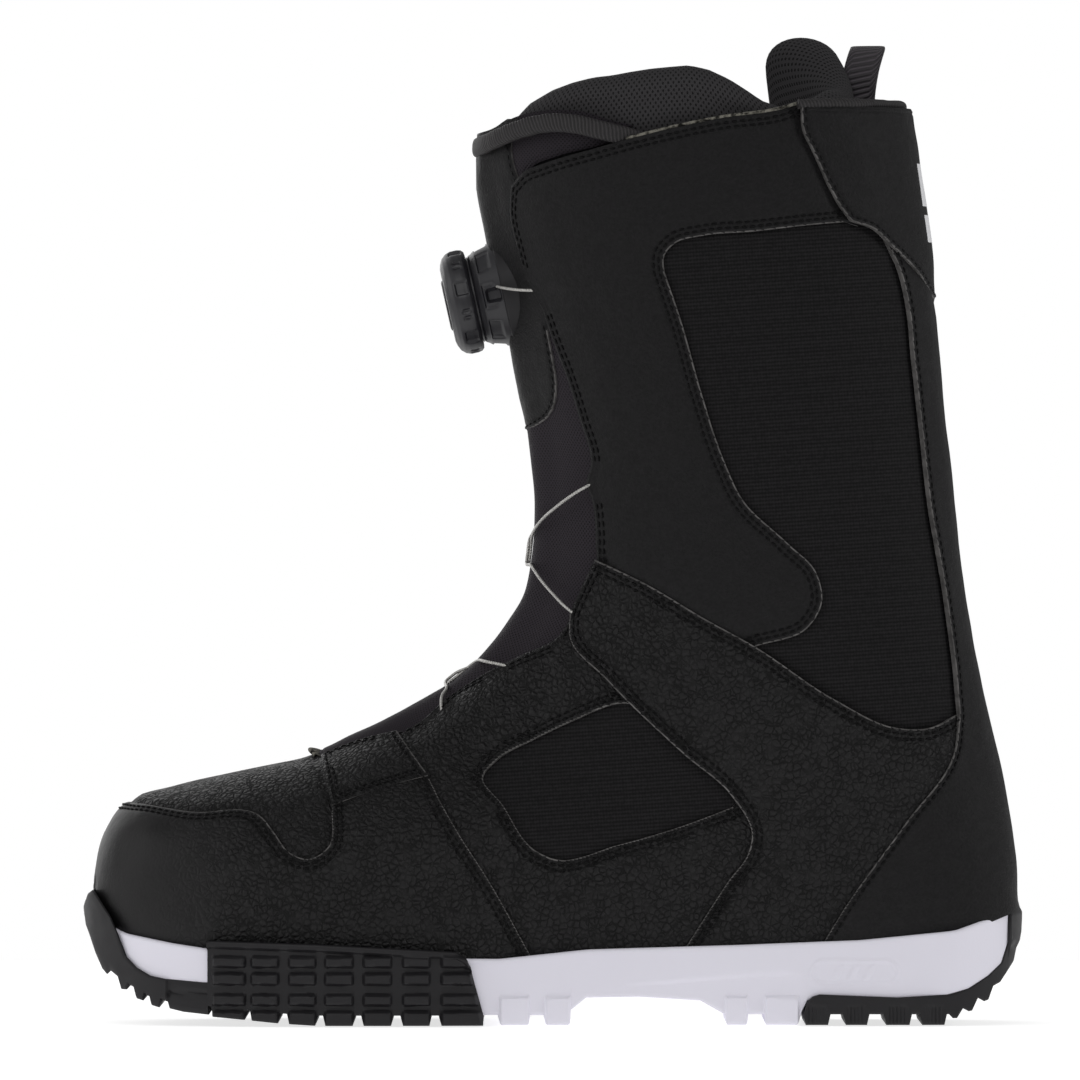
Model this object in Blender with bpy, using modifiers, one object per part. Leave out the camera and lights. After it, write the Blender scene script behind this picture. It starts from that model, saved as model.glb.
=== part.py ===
"""Snowboard boot with a dial closure, as an assembly of separate solids.

Frame: toe towards -X, heel towards +X, the wearer's outer side towards -Y, +Z up, ground at Z = 0.
The origin is the flat bottom of the middle sole lug. All design numbers are in millimetres.
"""

import math

import bmesh
import bpy
from mathutils import Matrix, Vector

# ---------------------------------------------------------------- driving dimensions (mm)
MM = 0.001
TOE_TIP_X = -151.0
FOREFOOT_X = -70.0
FOREFOOT_HALF_WIDTH = 54.0
WAIST_HALF_WIDTH = 45.0
HEEL_HALF_WIDTH = 42.0
ANKLE_HALF_WIDTH = 46.5
SHAFT_HALF_WIDTH = 53.0
TOE_SWING = 4.0
LEATHER = 2.0
SEAM_GAP = 0.2
LAYER_GAP = 1.2
TEXTILE_SINK = 0.9
TONGUE_LEATHER = 1.8
THROAT_GAP = 2.0
GUIDE_DEPTH = 3.9
GUIDE_THICKNESS = 1.0
LINER_DEPTH = 5.5
LINER_THICKNESS = 4.5
LINER_TONGUE_HALF_WIDTH = 21.5
GUIDE_SETBACK = 3.5
GUIDE_WIDTH = 6.5
SOLE_MARGIN = 2.2
SOLE_TIP_X = -154.0
SOLE_HEEL_X = 154.0
BOARD_THICKNESS = 2.2
FOOTBED_THICKNESS = 4.0
LACE_RADIUS = 0.5
DIAL_TILT = math.radians(12.5)
DIAL_SEAT = (-16.0, 239.5)
DIAL_RADIUS = 17.2
TONGUE_HINGE = (-24.0, 123.0)
LOOP_HINGE = (105.0, 304.0)
COLLAR_PAD_DEPTH = 16.0
RING_STEPS = 18
FAR = 400.0

# ---------------------------------------------------------------- upper body surface
# Each station runs from the front profile (x, z) to the back or bottom profile (x, z).
# The last number is how square the section is towards the back or bottom.
STATIONS = [
    (-24.0, 322.0, 114.0, 338.0, 2.3),
    (-24.5, 302.0, 116.0, 316.0, 2.3),
    (-25.0, 280.0, 120.5, 280.0, 2.3),
    (-22.5, 258.0, 124.0, 256.0, 2.3),
    (-16.5, 238.0, 126.0, 232.0, 2.3),
    (-12.0, 214.0, 128.5, 205.0, 2.3),
    (-7.5, 188.0, 131.5, 178.0, 2.3),
    (-6.0, 164.0, 134.5, 150.0, 2.4),
    (-8.5, 144.0, 139.0, 122.0, 2.5),
    (-14.5, 132.0, 144.0, 99.0, 2.7),
    (-22.0, 122.5, 148.5, 78.0, 3.0),
    (-31.5, 113.5, 151.5, 60.0, 3.6),
    (-41.0, 107.5, 152.5, 44.0, 4.4),
    (-48.0, 103.5, 150.0, 24.0, 5.0),
    (-54.0, 100.5, 120.0, 12.0, 5.0),
    (-60.0, 97.5, 76.0, 11.0, 5.0),
    (-66.5, 94.5, 35.0, 10.0, 5.0),
    (-75.0, 90.5, -2.0, 9.0, 5.0),
    (-85.0, 87.0, -38.0, 8.5, 5.0),
    (-98.0, 83.5, -72.0, 10.0, 4.5),
    (-112.0, 80.5, -100.0, 12.0, 4.2),
    (-125.0, 78.0, -120.0, 14.0, 4.0),
    (-136.0, 75.0, -133.5, 16.5, 3.6),
    (-143.5, 69.0, -142.0, 20.0, 3.2),
    (-148.5, 58.0, -147.0, 25.0, 2.8),
    (-150.5, 47.0, -150.0, 31.0, 2.5),
]
TOE_POLE = (-151.0, 39.0)

FEATHER = [(-160, 37), (-149, 33), (-142, 29.5), (-126, 26.5), (-112, 24.5), (-60, 22), (-17, 21.5),
           (12, 24.5), (63, 26), (102, 27.5), (133, 30.5), (150, 36.5), (165, 43)]

# ---------------------------------------------------------------- pattern lines in side view (x, z)
CUFF_FRONT = [(13.5, 152), (13.5, 162), (12, 172.5), (10.5, 176), (12, 183), (8, 198), (3.5, 212.5), (-1, 224),
              (-5, 235), (-8.5, 239.5), (-12.5, 254.5), (-15.5, 268), (-14.5, 274)]
CUFF_TOP = [(-10.5, 278.5), (-3, 281.5), (11, 285.5), (38.5, 292.5), (55.5, 296), (76, 299), (81.5, 300)]
COLLAR_FRONT = [(81.5, 292.5), (86, 284), (94.5, 267), (98, 262.5)]
COLLAR_LOW = [(105.5, 260), (111.5, 254.5), (120, 246), (126, 235.5)]
WINDOW_TOP = [(98, 262.5), (83, 261), (66, 259), (49, 257.5), (38, 254), (36, 248)]
WINDOW_FRONT = [(42, 230), (49, 205.5), (56.5, 183.5), (62, 172), (77.5, 157), (86.5, 148), (88.5, 138),
                (84, 130), (66.5, 123.5)]
BACKSTAY_LINE = [(111.5, 254.5), (115, 245), (119.5, 214.5), (124, 174.5), (130.5, 134.5), (134, 101.5)]
QUARTER_TOP = [(13.5, 152), (19, 149.5), (30.5, 144), (48.5, 133.5), (66.5, 123.5), (93, 106), (113, 97),
               (124, 97), (134, 101.5)]
LOW_EYESTAY = [(5.5, 134.5), (2, 128), (-11, 121.5), (-21.5, 116.5), (-35.5, 107.5), (-44, 100), (-51, 96.5),
               (-64.5, 93), (-76, 88.5)]
OVERLAY_FRONT = [(5.5, 134.5), (5.5, 127), (18, 112.5), (43, 88.5), (59, 74.5), (65.5, 62), (64.5, 56.5),
                 (57.5, 46.5), (41, 20)]
QUARTER_FRONT = [(-51, 96.5), (-41, 82.5), (-36.5, 73.5), (-30.5, 63), (-20, 46.5), (-4, 18)]
COUNTER_LINE = [(134, 101.5), (132.5, 90), (115.5, 65.5), (97, 40), (84, 20)]
LOW_WINDOW = [(25, 105), (6, 99.5), (-7.5, 93), (-21, 86), (-22, 82), (-16, 72.5), (-5, 57), (0, 55),
              (22.5, 59), (43, 65), (60.5, 71.5)]
TOE_CAP_TOP = [(-150, 72.5), (-139, 73), (-118, 70), (-95, 68.5), (-90.5, 63), (-86, 57), (-79, 54.5),
               (-73, 58.5), (-72, 72.5)]
WING_LOW = [(-72, 72.5), (-40.5, 82)]
TONGUE_TOP = [(-34, 284), (-23, 289), (-18.5, 292), (-11.5, 294), (-1.5, 295), (7, 294.5), (15.5, 292)]
SHIELD_LOW = [(-1.5, 213), (-2, 202), (-8, 194.5), (-20, 190)]


# ---------------------------------------------------------------- small helpers
def mix(a, b, t):
    """Linear blend of two numbers."""
    return a + (b - a) * t


def smooth(t):
    """Smooth step from 0 to 1."""
    t = max(0.0, min(1.0, t))
    return t * t * (3.0 - 2.0 * t)


def along(points, x):
    """Height of a line through points at x."""
    for (x0, z0), (x1, z1) in zip(points, points[1:]):
        if x <= x1:
            return mix(z0, z1, max(0.0, (x - x0) / (x1 - x0)))
    return points[-1][1]


def foot_half_width(x):
    """Half width of the upper in plan, from the toe tip to the heel."""
    if x < FOREFOOT_X:
        reach = min(1.0, (FOREFOOT_X - x) / (FOREFOOT_X - TOE_TIP_X))
        return FOREFOOT_HALF_WIDTH * (1.0 - reach ** 2.3) ** (1.0 / 2.3)
    waist = mix(FOREFOOT_HALF_WIDTH, WAIST_HALF_WIDTH, smooth((x - FOREFOOT_X) / 95.0))
    return mix(waist, HEEL_HALF_WIDTH, smooth((x - 25.0) / 75.0))


def half_width(x, z):
    """Half width of the boot at a side-view point."""
    shaft = mix(ANKLE_HALF_WIDTH, SHAFT_HALF_WIDTH, smooth((z - 130.0) / 160.0))
    return mix(foot_half_width(x), shaft, smooth((z - 55.0) / 75.0))


def swing(x):
    """Sideways shift of the centre line towards the big toe."""
    return TOE_SWING * smooth((-20.0 - x) / 120.0)


def surface(station, share, side):
    """Point of the outer surface: share runs 0 at the front to 1 at the back or bottom."""
    fx, fz, bx, bz, square = station
    x = mix(fx, bx, share)
    z = mix(fz, bz, share)
    power = mix(2.25, square, smooth((share - 0.35) / 0.3))
    bulge = max(0.0, 1.0 - abs(2.0 * share - 1.0) ** power) ** (1.0 / power)
    return Vector((x, swing(x) + side * half_width(x, z) * bulge, z)) * MM


def ring(station):
    """Closed loop of points round one station, outer side first."""
    points = []
    half = RING_STEPS // 2
    for step in range(RING_STEPS):
        turn = step if step <= half else RING_STEPS - step
        share = (1.0 - math.cos(math.pi * turn / half)) / 2.0
        points.append(surface(station, share, -1.0 if step <= half else 1.0))
    return points


# ---------------------------------------------------------------- scene set-up
def clear_scene():
    for item in list(bpy.data.objects):
        bpy.data.objects.remove(item)


def collection(name):
    group = bpy.data.collections.new(name)
    bpy.context.scene.collection.children.link(group)
    return group


def material(name, colour, roughness, metallic=0.0):
    made = bpy.data.materials.new(name)
    made.use_nodes = True
    shader = made.node_tree.nodes["Principled BSDF"]
    shader.inputs["Base Color"].default_value = (*colour, 1.0)
    shader.inputs["Roughness"].default_value = roughness
    shader.inputs["Metallic"].default_value = metallic
    return made


def add_object(name, mesh, paint):
    made = bpy.data.objects.new(name, mesh)
    PARTS.objects.link(made)
    made.data.materials.append(paint)
    return made


def mesh_from(name, build):
    """New mesh filled by a function that works on a bmesh."""
    grid = bmesh.new()
    build(grid)
    bmesh.ops.recalc_face_normals(grid, faces=grid.faces)
    mesh = bpy.data.meshes.new(name)
    grid.to_mesh(mesh)
    grid.free()
    return mesh


def cutter(name, mesh):
    made = bpy.data.objects.new(name, mesh)
    CUTTERS.objects.link(made)
    made.hide_render = True
    made.display_type = "WIRE"
    return made


def boolean(target, tool, operation):
    step = target.modifiers.new(operation.title() + " " + tool.name, "BOOLEAN")
    step.operation = operation
    step.object = tool
    step.solver = "EXACT"


# ---------------------------------------------------------------- lofts and prisms
def loft_skin(depth, closed_top):
    """Skin of the whole upper, moved inwards by depth. The toe end closes in a point."""

    def build(grid):
        rings = [[grid.verts.new(point) for point in ring(station)] for station in STATIONS]
        pole = grid.verts.new(Vector((TOE_POLE[0], swing(TOE_POLE[0]), TOE_POLE[1])) * MM)
        for first, second in zip(rings, rings[1:]):
            for step in range(RING_STEPS):
                after = (step + 1) % RING_STEPS
                grid.faces.new((first[step], first[after], second[after], second[step]))
        for step in range(RING_STEPS):
            grid.faces.new((rings[-1][step], rings[-1][(step + 1) % RING_STEPS], pole))
        if closed_top:
            grid.faces.new(rings[0])
        bmesh.ops.recalc_face_normals(grid, faces=grid.faces)
        if not closed_top and outward_sign(grid) < 0:
            bmesh.ops.reverse_faces(grid, faces=grid.faces)
        grid.normal_update()
        moves = [(vertex, vertex.normal.copy()) for vertex in grid.verts]
        for vertex, normal in moves:
            vertex.co -= normal * depth * MM

    mesh = bpy.data.meshes.new("skin")
    grid = bmesh.new()
    build(grid)
    grid.to_mesh(mesh)
    grid.free()
    return mesh


def outward_sign(grid):
    """Positive when the skin's faces look away from its middle line."""
    total = 0.0
    for face in grid.faces:
        centre = face.calc_center_median()
        total += face.normal.y * (centre.y - swing(centre.x / MM) * MM)
    return total


def prism(name, outline, low=-FAR, high=FAR):
    """Cutter: a side-view outline swept across the boot between two Y values."""

    def build(grid):
        near = [grid.verts.new(Vector((x, low, z)) * MM) for x, z in outline]
        face = grid.faces.new(near)
        moved = bmesh.ops.extrude_face_region(grid, geom=[face])
        for item in moved["geom"]:
            if isinstance(item, bmesh.types.BMVert):
                item.co.y = high * MM

    return cutter(name + "_outline", mesh_from(name + "_outline", build))


def inset(outline, amount):
    """The outline moved inwards by amount, corner by corner."""
    area = sum(a[0] * b[1] - b[0] * a[1] for a, b in zip(outline, outline[1:] + outline[:1]))
    turn = 1.0 if area > 0 else -1.0
    moved = []
    for before, point, after in zip(outline[-1:] + outline[:-1], outline, outline[1:] + outline[:1]):
        first = Vector((point[0] - before[0], point[1] - before[1])).normalized()
        second = Vector((after[0] - point[0], after[1] - point[1])).normalized()
        normals = [Vector((-edge.y, edge.x)) * turn for edge in (first, second)]
        middle = (normals[0] + normals[1]).normalized()
        stretch = min(2.5, 1.0 / max(0.3, middle.dot(normals[0])))
        moved.append((point[0] + middle.x * amount * stretch, point[1] + middle.y * amount * stretch))
    return moved


def panel(name, outline, paint, depth=0.0, thickness=LEATHER, side="both", cut=None, gap=SEAM_GAP):
    """One flat-cut piece of the upper, bent over the boot's surface."""
    made = add_object(name, loft_skin(depth, False), paint)
    shell = made.modifiers.new("Thickness", "SOLIDIFY")
    shell.thickness = thickness * MM
    shell.offset = -1.0
    low, high = {"both": (-FAR, FAR), "lateral": (-FAR, -0.4), "medial": (0.4, FAR)}[side]
    boolean(made, prism(name, inset(outline, gap), low, high), "INTERSECT")
    for number, hole in enumerate(cut or []):
        boolean(made, prism(f"{name}_hole_{number}", inset(hole, -gap)), "DIFFERENCE")
    return made


def pair(name, outline, paint, **options):
    """The same panel on the outer (lateral) and the inner (medial) side."""
    return [panel(f"{name}_{side}", outline, paint, side=side, **options) for side in ("lateral", "medial")]


def feather_line(lift, first=-165.0, last=165.0):
    """The line between upper and sole, raised by lift, from first to last."""
    inner = [x for x, _ in FEATHER if first < x < last]
    return [(x, along(FEATHER, x) + lift) for x in [first] + inner + [last]]


# ---------------------------------------------------------------- the upper
def build_upper(paints):
    leather = paints["leather"]
    grain = paints["grain"]
    ripstop = paints["ripstop"]
    cap = TOE_CAP_TOP + WING_LOW[1:] + QUARTER_FRONT[2:-1]
    cap += [(-8, along(FEATHER, -8) + 0.2)] + feather_line(0.2, -165, -12)[::-1] + [(-165, 72.5)]
    panel("toe_cap", cap, leather)
    vamp = TOE_CAP_TOP[1:] + [(-76, 88.5), (-78, 110), (-150, 110), (-150, 73)]
    panel("vamp", vamp, grain)
    wing = WING_LOW + [(-41, 82.5), (-51, 96.5), (-64.5, 93), (-76, 88.5)]
    pair("vamp_wing", wing, grain)
    front = QUARTER_FRONT[:-1] + [(-7, along(FEATHER, -7) + 0.7)] + feather_line(0.2, -6, 43)
    front += OVERLAY_FRONT[:-1][::-1] + LOW_EYESTAY[1:-3]
    pair("quarter_front", front, grain, cut=[LOW_WINDOW + [(75, 85), (40, 112)]])
    pair("side_window", LOW_WINDOW + [(59, 74.5), (43, 88.5)], ripstop, depth=TEXTILE_SINK,
         thickness=LEATHER - TEXTILE_SINK, gap=SEAM_GAP)
    overlay = QUARTER_TOP + COUNTER_LINE[1:-1] + feather_line(0.2, 44, 89)[::-1] + OVERLAY_FRONT[:-1][::-1]
    pair("quarter_rear", overlay, grain)
    counter = COUNTER_LINE[:-1] + feather_line(0.2, 90) + [(FAR, 44), (FAR, 101.5)]
    panel("heel_counter", counter, leather)
    cuff = CUFF_FRONT + CUFF_TOP + COLLAR_FRONT + WINDOW_TOP[1:] + WINDOW_FRONT + QUARTER_TOP[1:4][::-1]
    pair("cuff", cuff, leather)
    window = WINDOW_TOP + WINDOW_FRONT + QUARTER_TOP[5:] + BACKSTAY_LINE[:-1][::-1] + [(105.5, 260)]
    pair("cuff_window", window, ripstop, depth=TEXTILE_SINK, thickness=LEATHER - TEXTILE_SINK)
    stay = BACKSTAY_LINE + [(FAR, 101.5), (FAR, 235.5)] + COLLAR_LOW[::-1][:2]
    panel("backstay", stay, leather)
    collar = [(81.5, 301.0), *COLLAR_FRONT, *COLLAR_LOW, (FAR, 235.5), (FAR, 301.0)]
    panel("collar_back", collar, leather)


def build_tongue(paints):
    gap = THROAT_GAP
    hinge_x, hinge_z = TONGUE_HINGE
    edge = [(x - gap, z) for x, z in CUFF_FRONT]
    rim = [(-15.5, 278), (-11.5, 281.5), (-3.5, 284.5), (11, 288.5)]
    shield = [(-60, 284), (-60, 190)] + SHIELD_LOW[::-1] + edge[7:] + rim + TONGUE_TOP[::-1]
    panel("tongue_shield", shield, paints["leather"], thickness=TONGUE_LEATHER)
    split = [(hinge_x - 30, hinge_z + 22), (hinge_x, hinge_z + 0.2), (hinge_x + 40, hinge_z - 29)]
    low_edge = [(x - 0.3, z + 0.4) for x, z in LOW_EYESTAY]
    upper_mesh = [(-60, 150)] + split[:2] + [(-13, 121.5), (-1, 130), (2, 137), (10.5, 152)]
    upper_mesh += edge[1:8] + SHIELD_LOW + [(-60, 190)]
    panel("tongue_mesh", upper_mesh, paints["mesh"], thickness=TONGUE_LEATHER)
    base = [(hinge_x - 30, hinge_z + 21.2), (hinge_x, hinge_z - 0.6)] + [(-14.5, 120)]
    base += low_edge[3:-1] + [(-70, 91.5), (-70, 140)]
    panel("tongue_base", base, paints["mesh"], thickness=TONGUE_LEATHER)


def build_inner_layers(paints):
    """Stiffeners, lace guides and the liner, behind the visible layer."""
    behind = LEATHER + LAYER_GAP
    counter = [(58, 60), (80, 92), (118, 128), (FAR, 128), (FAR, 45)] + feather_line(3.0, 62)[::-1]
    panel("heel_stiffener", counter, paints["plastic"], depth=behind, thickness=1.1)
    puff = [(-165, 72), (-110, 72), (-96, 60)] + feather_line(3.0, -165, -97)[::-1]
    panel("toe_stiffener", puff, paints["plastic"], depth=behind, thickness=1.4)
    guides = [(x + GUIDE_SETBACK, z) for x, z in CUFF_FRONT[:-1]]
    guides += [(x + GUIDE_SETBACK + GUIDE_WIDTH, z) for x, z in CUFF_FRONT[:-1]][::-1]
    pair("lace_guide", guides, paints["webbing"], depth=GUIDE_DEPTH, thickness=GUIDE_THICKNESS)
    low = [(x + 1.5, z - 1.5) for x, z in LOW_EYESTAY[1:-1]]
    low += [(x + 6.0, z - 9.0) for x, z in LOW_EYESTAY[1:-1]][::-1]
    pair("instep_guide", low, paints["webbing"], depth=GUIDE_DEPTH, thickness=GUIDE_THICKNESS)


def build_liner(paints):
    """Removable padded inner boot: an open tube on a footbed, a padded heel collar and a separate tongue."""
    floor = BOARD_THICKNESS + 0.7
    top = [(FAR, 301), (118, 301), (100, 303), (68, 303), (46, 311), (22, 309), (8, 304), (4, 296)]
    outline = top + [(4, 290), (-165, 290)] + feather_line(floor, -165, 160) + [(FAR, 44)]
    boot = panel("liner_boot", outline, paints["liner"], depth=LINER_DEPTH, thickness=LINER_THICKNESS)
    half = LINER_TONGUE_HALF_WIDTH
    throat = [(-90, 330), (6, 330), (6, 262), (14, 224), (24, 184), (26, 160), (20, 140), (8, 126), (-20, 106),
              (-46, 90), (-90, 120)]
    boolean(boot, prism("liner_throat", throat, -half - 0.4, half + 0.4), "DIFFERENCE")
    flap = panel("liner_tongue", [(-90, 303), *throat[2:-4], (10, 129), (-5, 129), (-90, 170)], paints["liner"],
                 depth=LINER_DEPTH, thickness=LINER_THICKNESS)
    boolean(flap, bar("liner_tongue_sides", (0, 0, 200), (200, 2 * half, 300)), "INTERSECT")
    pad = [(71, 303.8), (73, 313), (76, 319), (80.5, 323), (85.5, 324), (91, 322), (98, 320), (FAR, 317),
           (FAR, 303.8)]
    panel("liner_collar_pad", pad, paints["liner"], depth=COLLAR_PAD_DEPTH, thickness=LINER_THICKNESS)


def plan_half_width(x, grow):
    """Half width of the sole in plan."""
    if x < FOREFOOT_X:
        reach = min(1.0, (FOREFOOT_X - x) / (FOREFOOT_X - SOLE_TIP_X + grow))
        return (FOREFOOT_HALF_WIDTH + SOLE_MARGIN + grow) * (1.0 - reach ** 2.3) ** (1.0 / 2.3)
    heel_start = 112.0
    body = foot_half_width(min(x, heel_start)) + SOLE_MARGIN + grow
    reach = max(0.0, (x - heel_start) / (SOLE_HEEL_X - heel_start + grow))
    return body * max(0.0, 1.0 - reach ** 2.8) ** (1.0 / 2.8)


def plan_outline(grow, first, last):
    """Closed plan outline (x, y) between two x values."""
    count = 40
    low = SOLE_TIP_X - grow
    high = SOLE_HEEL_X + grow
    stations = [mix(low, high, (1.0 - math.cos(math.pi * step / count)) / 2.0) for step in range(count + 1)]
    stations = [first] + [x for x in stations if first < x < last] + [last]
    outer = [(x, swing(x) - plan_half_width(x, grow)) for x in stations if low <= x <= high]
    inner = [(x, swing(x) + plan_half_width(x, grow)) for x in stations if low < x < high]
    return outer + inner[::-1]


def plan_solid(name, grow, first, last, low, high, paint):
    """Block with the sole's plan outline between two heights."""
    outline = plan_outline(grow, max(first, SOLE_TIP_X - grow), min(last, SOLE_HEEL_X + grow))

    def build(grid):
        base = [grid.verts.new(Vector((x, y, low)) * MM) for x, y in outline]
        face = grid.faces.new(base)
        moved = bmesh.ops.extrude_face_region(grid, geom=[face])
        for item in moved["geom"]:
            if isinstance(item, bmesh.types.BMVert):
                item.co.z = high * MM

    return add_object(name, mesh_from(name, build), paint)


def bar(name, centre, size, angle=0.0):
    """Box cutter, turned about Z."""
    def build(grid):
        spin = Matrix.Rotation(angle, 4, "Z")
        place = Matrix.Translation(Vector(centre) * MM) @ spin @ Matrix.Diagonal((*(Vector(size) * MM), 1.0))
        bmesh.ops.create_cube(grid, size=1.0, matrix=place)

    return cutter(name, mesh_from(name, build))


def grooves(name, target, xs, width, depth):
    """Transverse grooves that split a tread into lugs."""
    for number, x in enumerate(xs):
        slot = bar(f"{name}_{number}", (x, 0, depth / 2 - 5), (width, FAR, depth + 10))
        boolean(target, slot, "DIFFERENCE")


def midsole_profile():
    """Side outline of the foam midsole."""
    bottom = [(-141.5, 29), (-139.1, 22.6), (-135.5, 18.6), (-126, 15.1), (-112, 14.1), (-112, 12), (-23, 12),
              (-18, 0), (77, 0), (82, 9.5),
              (125, 10), (137, 12.5), (144, 17), (150, 26)]
    return bottom + feather_line(-0.2, -141, 151)[::-1]


def build_sole(paints):
    foam = plan_solid("midsole", -1.6, -170, 170, -2, 50, paints["foam"])
    boolean(foam, prism("midsole", midsole_profile()), "INTERSECT")
    boolean(foam, prism("arch", [(7, -5), (7, 5), (12, 8.5), (49, 8.0), (56, 3.5), (57, -5)]), "DIFFERENCE")
    grooves("foam_groove", foam, [-4.7, 67.5], 4.5, 4.0)

    toe = plan_solid("toe_outsole", 0.0, -170, -112.7, -2, 60, paints["rubber"])
    side = [(-165, 44), (-149.5, 42.5), (-145, 35), (-142, 29), (-139.5, 22.2), (-135.8, 18.2), (-126, 14.7),
            (-112, 13.7), (-112, 4), (-127, 6), (-136, 9.5), (-146, 17), (-156, 30)]
    boolean(toe, prism("toe_outsole", side), "INTERSECT")
    boolean(toe, upper_core("toe_core", 0.3), "DIFFERENCE")
    for number, (x, z) in enumerate([(-120, 4.7), (-129.5, 6.5), (-138, 10.5)]):
        boolean(toe, bar(f"toe_notch_{number}", (x, 0, z), (2.4, FAR, 3.6)), "DIFFERENCE")

    pod = plan_solid("forefoot_outsole", 1.4, -112.3, -20, -2, 60, paints["rubber"])
    boolean(pod, prism("pod", [(-112.3, 0), (-112.3, 27), (-77, 26.5), (-30.5, 24), (-26.5, 20), (-21.5, 0)]),
            "INTERSECT")
    foam_room = plan_solid("foam_room", -1.2, -170, 170, 11.7, 60, paints["rubber"])
    move_to_cutters(foam_room)
    boolean(pod, foam_room, "DIFFERENCE")
    boolean(pod, upper_core("pod_core", 0.3), "DIFFERENCE")
    grooves("pod_groove", pod, [-109 + 12.2 * step for step in range(1, 7)], 2.6, 3.4)
    for number, y in enumerate((-18, 22)):
        boolean(pod, bar(f"pod_split_{number}", (-62, y, 0), (110, 2.6, 6.8), math.radians(2)), "DIFFERENCE")

    heel = plan_solid("heel_outsole", 0.0, 78, 170, -2, 60, paints["rubber"])
    side = [(82.6, 0), (84.8, 9.0), (125, 9.6), (137.3, 12.1), (144.4, 16.7), (150.4, 26), (151.4, 43), (153, 43),
            (165, 40), (165, 5), (143, 6), (132, 1.5), (128, 0)]
    boolean(heel, prism("heel_outsole", side), "INTERSECT")
    boolean(heel, upper_core("heel_core", 0.3), "DIFFERENCE")
    grooves("heel_groove", heel, [92.5, 105.5, 118.5], 5.5, 3.6)

    board = plan_solid("lasting_board", -4.0 - SOLE_MARGIN, -143, 146, 10, 60, paints["plastic"])
    boolean(board, band("board_band", 0.4, 0.4 + BOARD_THICKNESS), "INTERSECT")
    bed = plan_solid("footbed", -11.5 - SOLE_MARGIN, -137, 138, 10, 60, paints["liner"])
    boolean(board, cutter("board_room", loft_skin(LEATHER + 0.5, True)), "INTERSECT")
    boolean(bed, cutter("footbed_room", loft_skin(LINER_DEPTH + LINER_THICKNESS + 0.4, True)), "INTERSECT")
    floor = BOARD_THICKNESS + 0.9
    boolean(bed, band("footbed_band", floor, floor + FOOTBED_THICKNESS), "INTERSECT")


def band(name, low, high):
    """Cutter that follows the feather line between two lifts."""
    return prism(name, feather_line(low) + feather_line(high)[::-1])


def upper_core(name, grow):
    """Closed body of the whole upper, grown outwards, as a cutter."""
    return cutter(name, loft_skin(-grow, True))


def move_to_cutters(thing):
    PARTS.objects.unlink(thing)
    CUTTERS.objects.link(thing)
    thing.hide_render = True
    thing.display_type = "WIRE"


# ---------------------------------------------------------------- dial
def turned(name, profile, paint, steps=20, frame=None):
    """Turned ring from (radius, height) points, outer side listed upwards, as a Screw about the dial's axis."""
    mesh = bpy.data.meshes.new(name)
    profile = profile[::-1]
    count = len(profile)
    closed = profile[0][0] > 0.0
    edges = [(step, step + 1) for step in range(count - 1)] + ([(count - 1, 0)] if closed else [])
    mesh.from_pydata([(radius * MM, 0, height * MM) for radius, height in profile], edges, [])
    made = add_object(name, mesh, paint)
    screw = made.modifiers.new("Turn", "SCREW")
    screw.steps = steps
    screw.render_steps = steps
    screw.use_merge_vertices = True
    screw.merge_threshold = 0.00001
    made.parent = frame
    return made


def grip_ring(name, paint, frame):
    """Rubber grip round the knob, with finger scallops."""
    scallops = 12
    steps = scallops * 6
    low, high = 9.6, 17.6

    def build(grid):
        loops = []
        for height in (low, high):
            for inner in (False, True):
                loop = []
                for step in range(steps):
                    angle = 2.0 * math.pi * step / steps
                    dip = 0.9 * max(0.0, math.cos(scallops * angle)) ** 2
                    radius = 14.9 if inner else DIAL_RADIUS - dip
                    point = Vector((radius * math.cos(angle), radius * math.sin(angle), height))
                    loop.append(grid.verts.new(point * MM))
                loops.append(loop)
        for first, second in ((0, 2), (2, 3), (3, 1), (1, 0)):
            for step in range(steps):
                after = (step + 1) % steps
                near, far = loops[first], loops[second]
                grid.faces.new((near[step], near[after], far[after], far[step]))

    made = add_object(name, mesh_from(name, build), paint)
    made.parent = frame
    return made


def dial_frame():
    """Empty on the dial's axis: its Z points out of the tongue, forwards and a little down."""
    frame = bpy.data.objects.new("dial_frame", None)
    PARTS.objects.link(frame)
    outward = Vector((-math.cos(DIAL_TILT), 0, -math.sin(DIAL_TILT)))
    across = Vector((0, 1, 0))
    turn = Matrix((across.cross(outward), across, outward)).transposed().to_4x4()
    frame.matrix_world = Matrix.Translation(Vector((DIAL_SEAT[0], 0, DIAL_SEAT[1])) * MM) @ turn
    return frame


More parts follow.
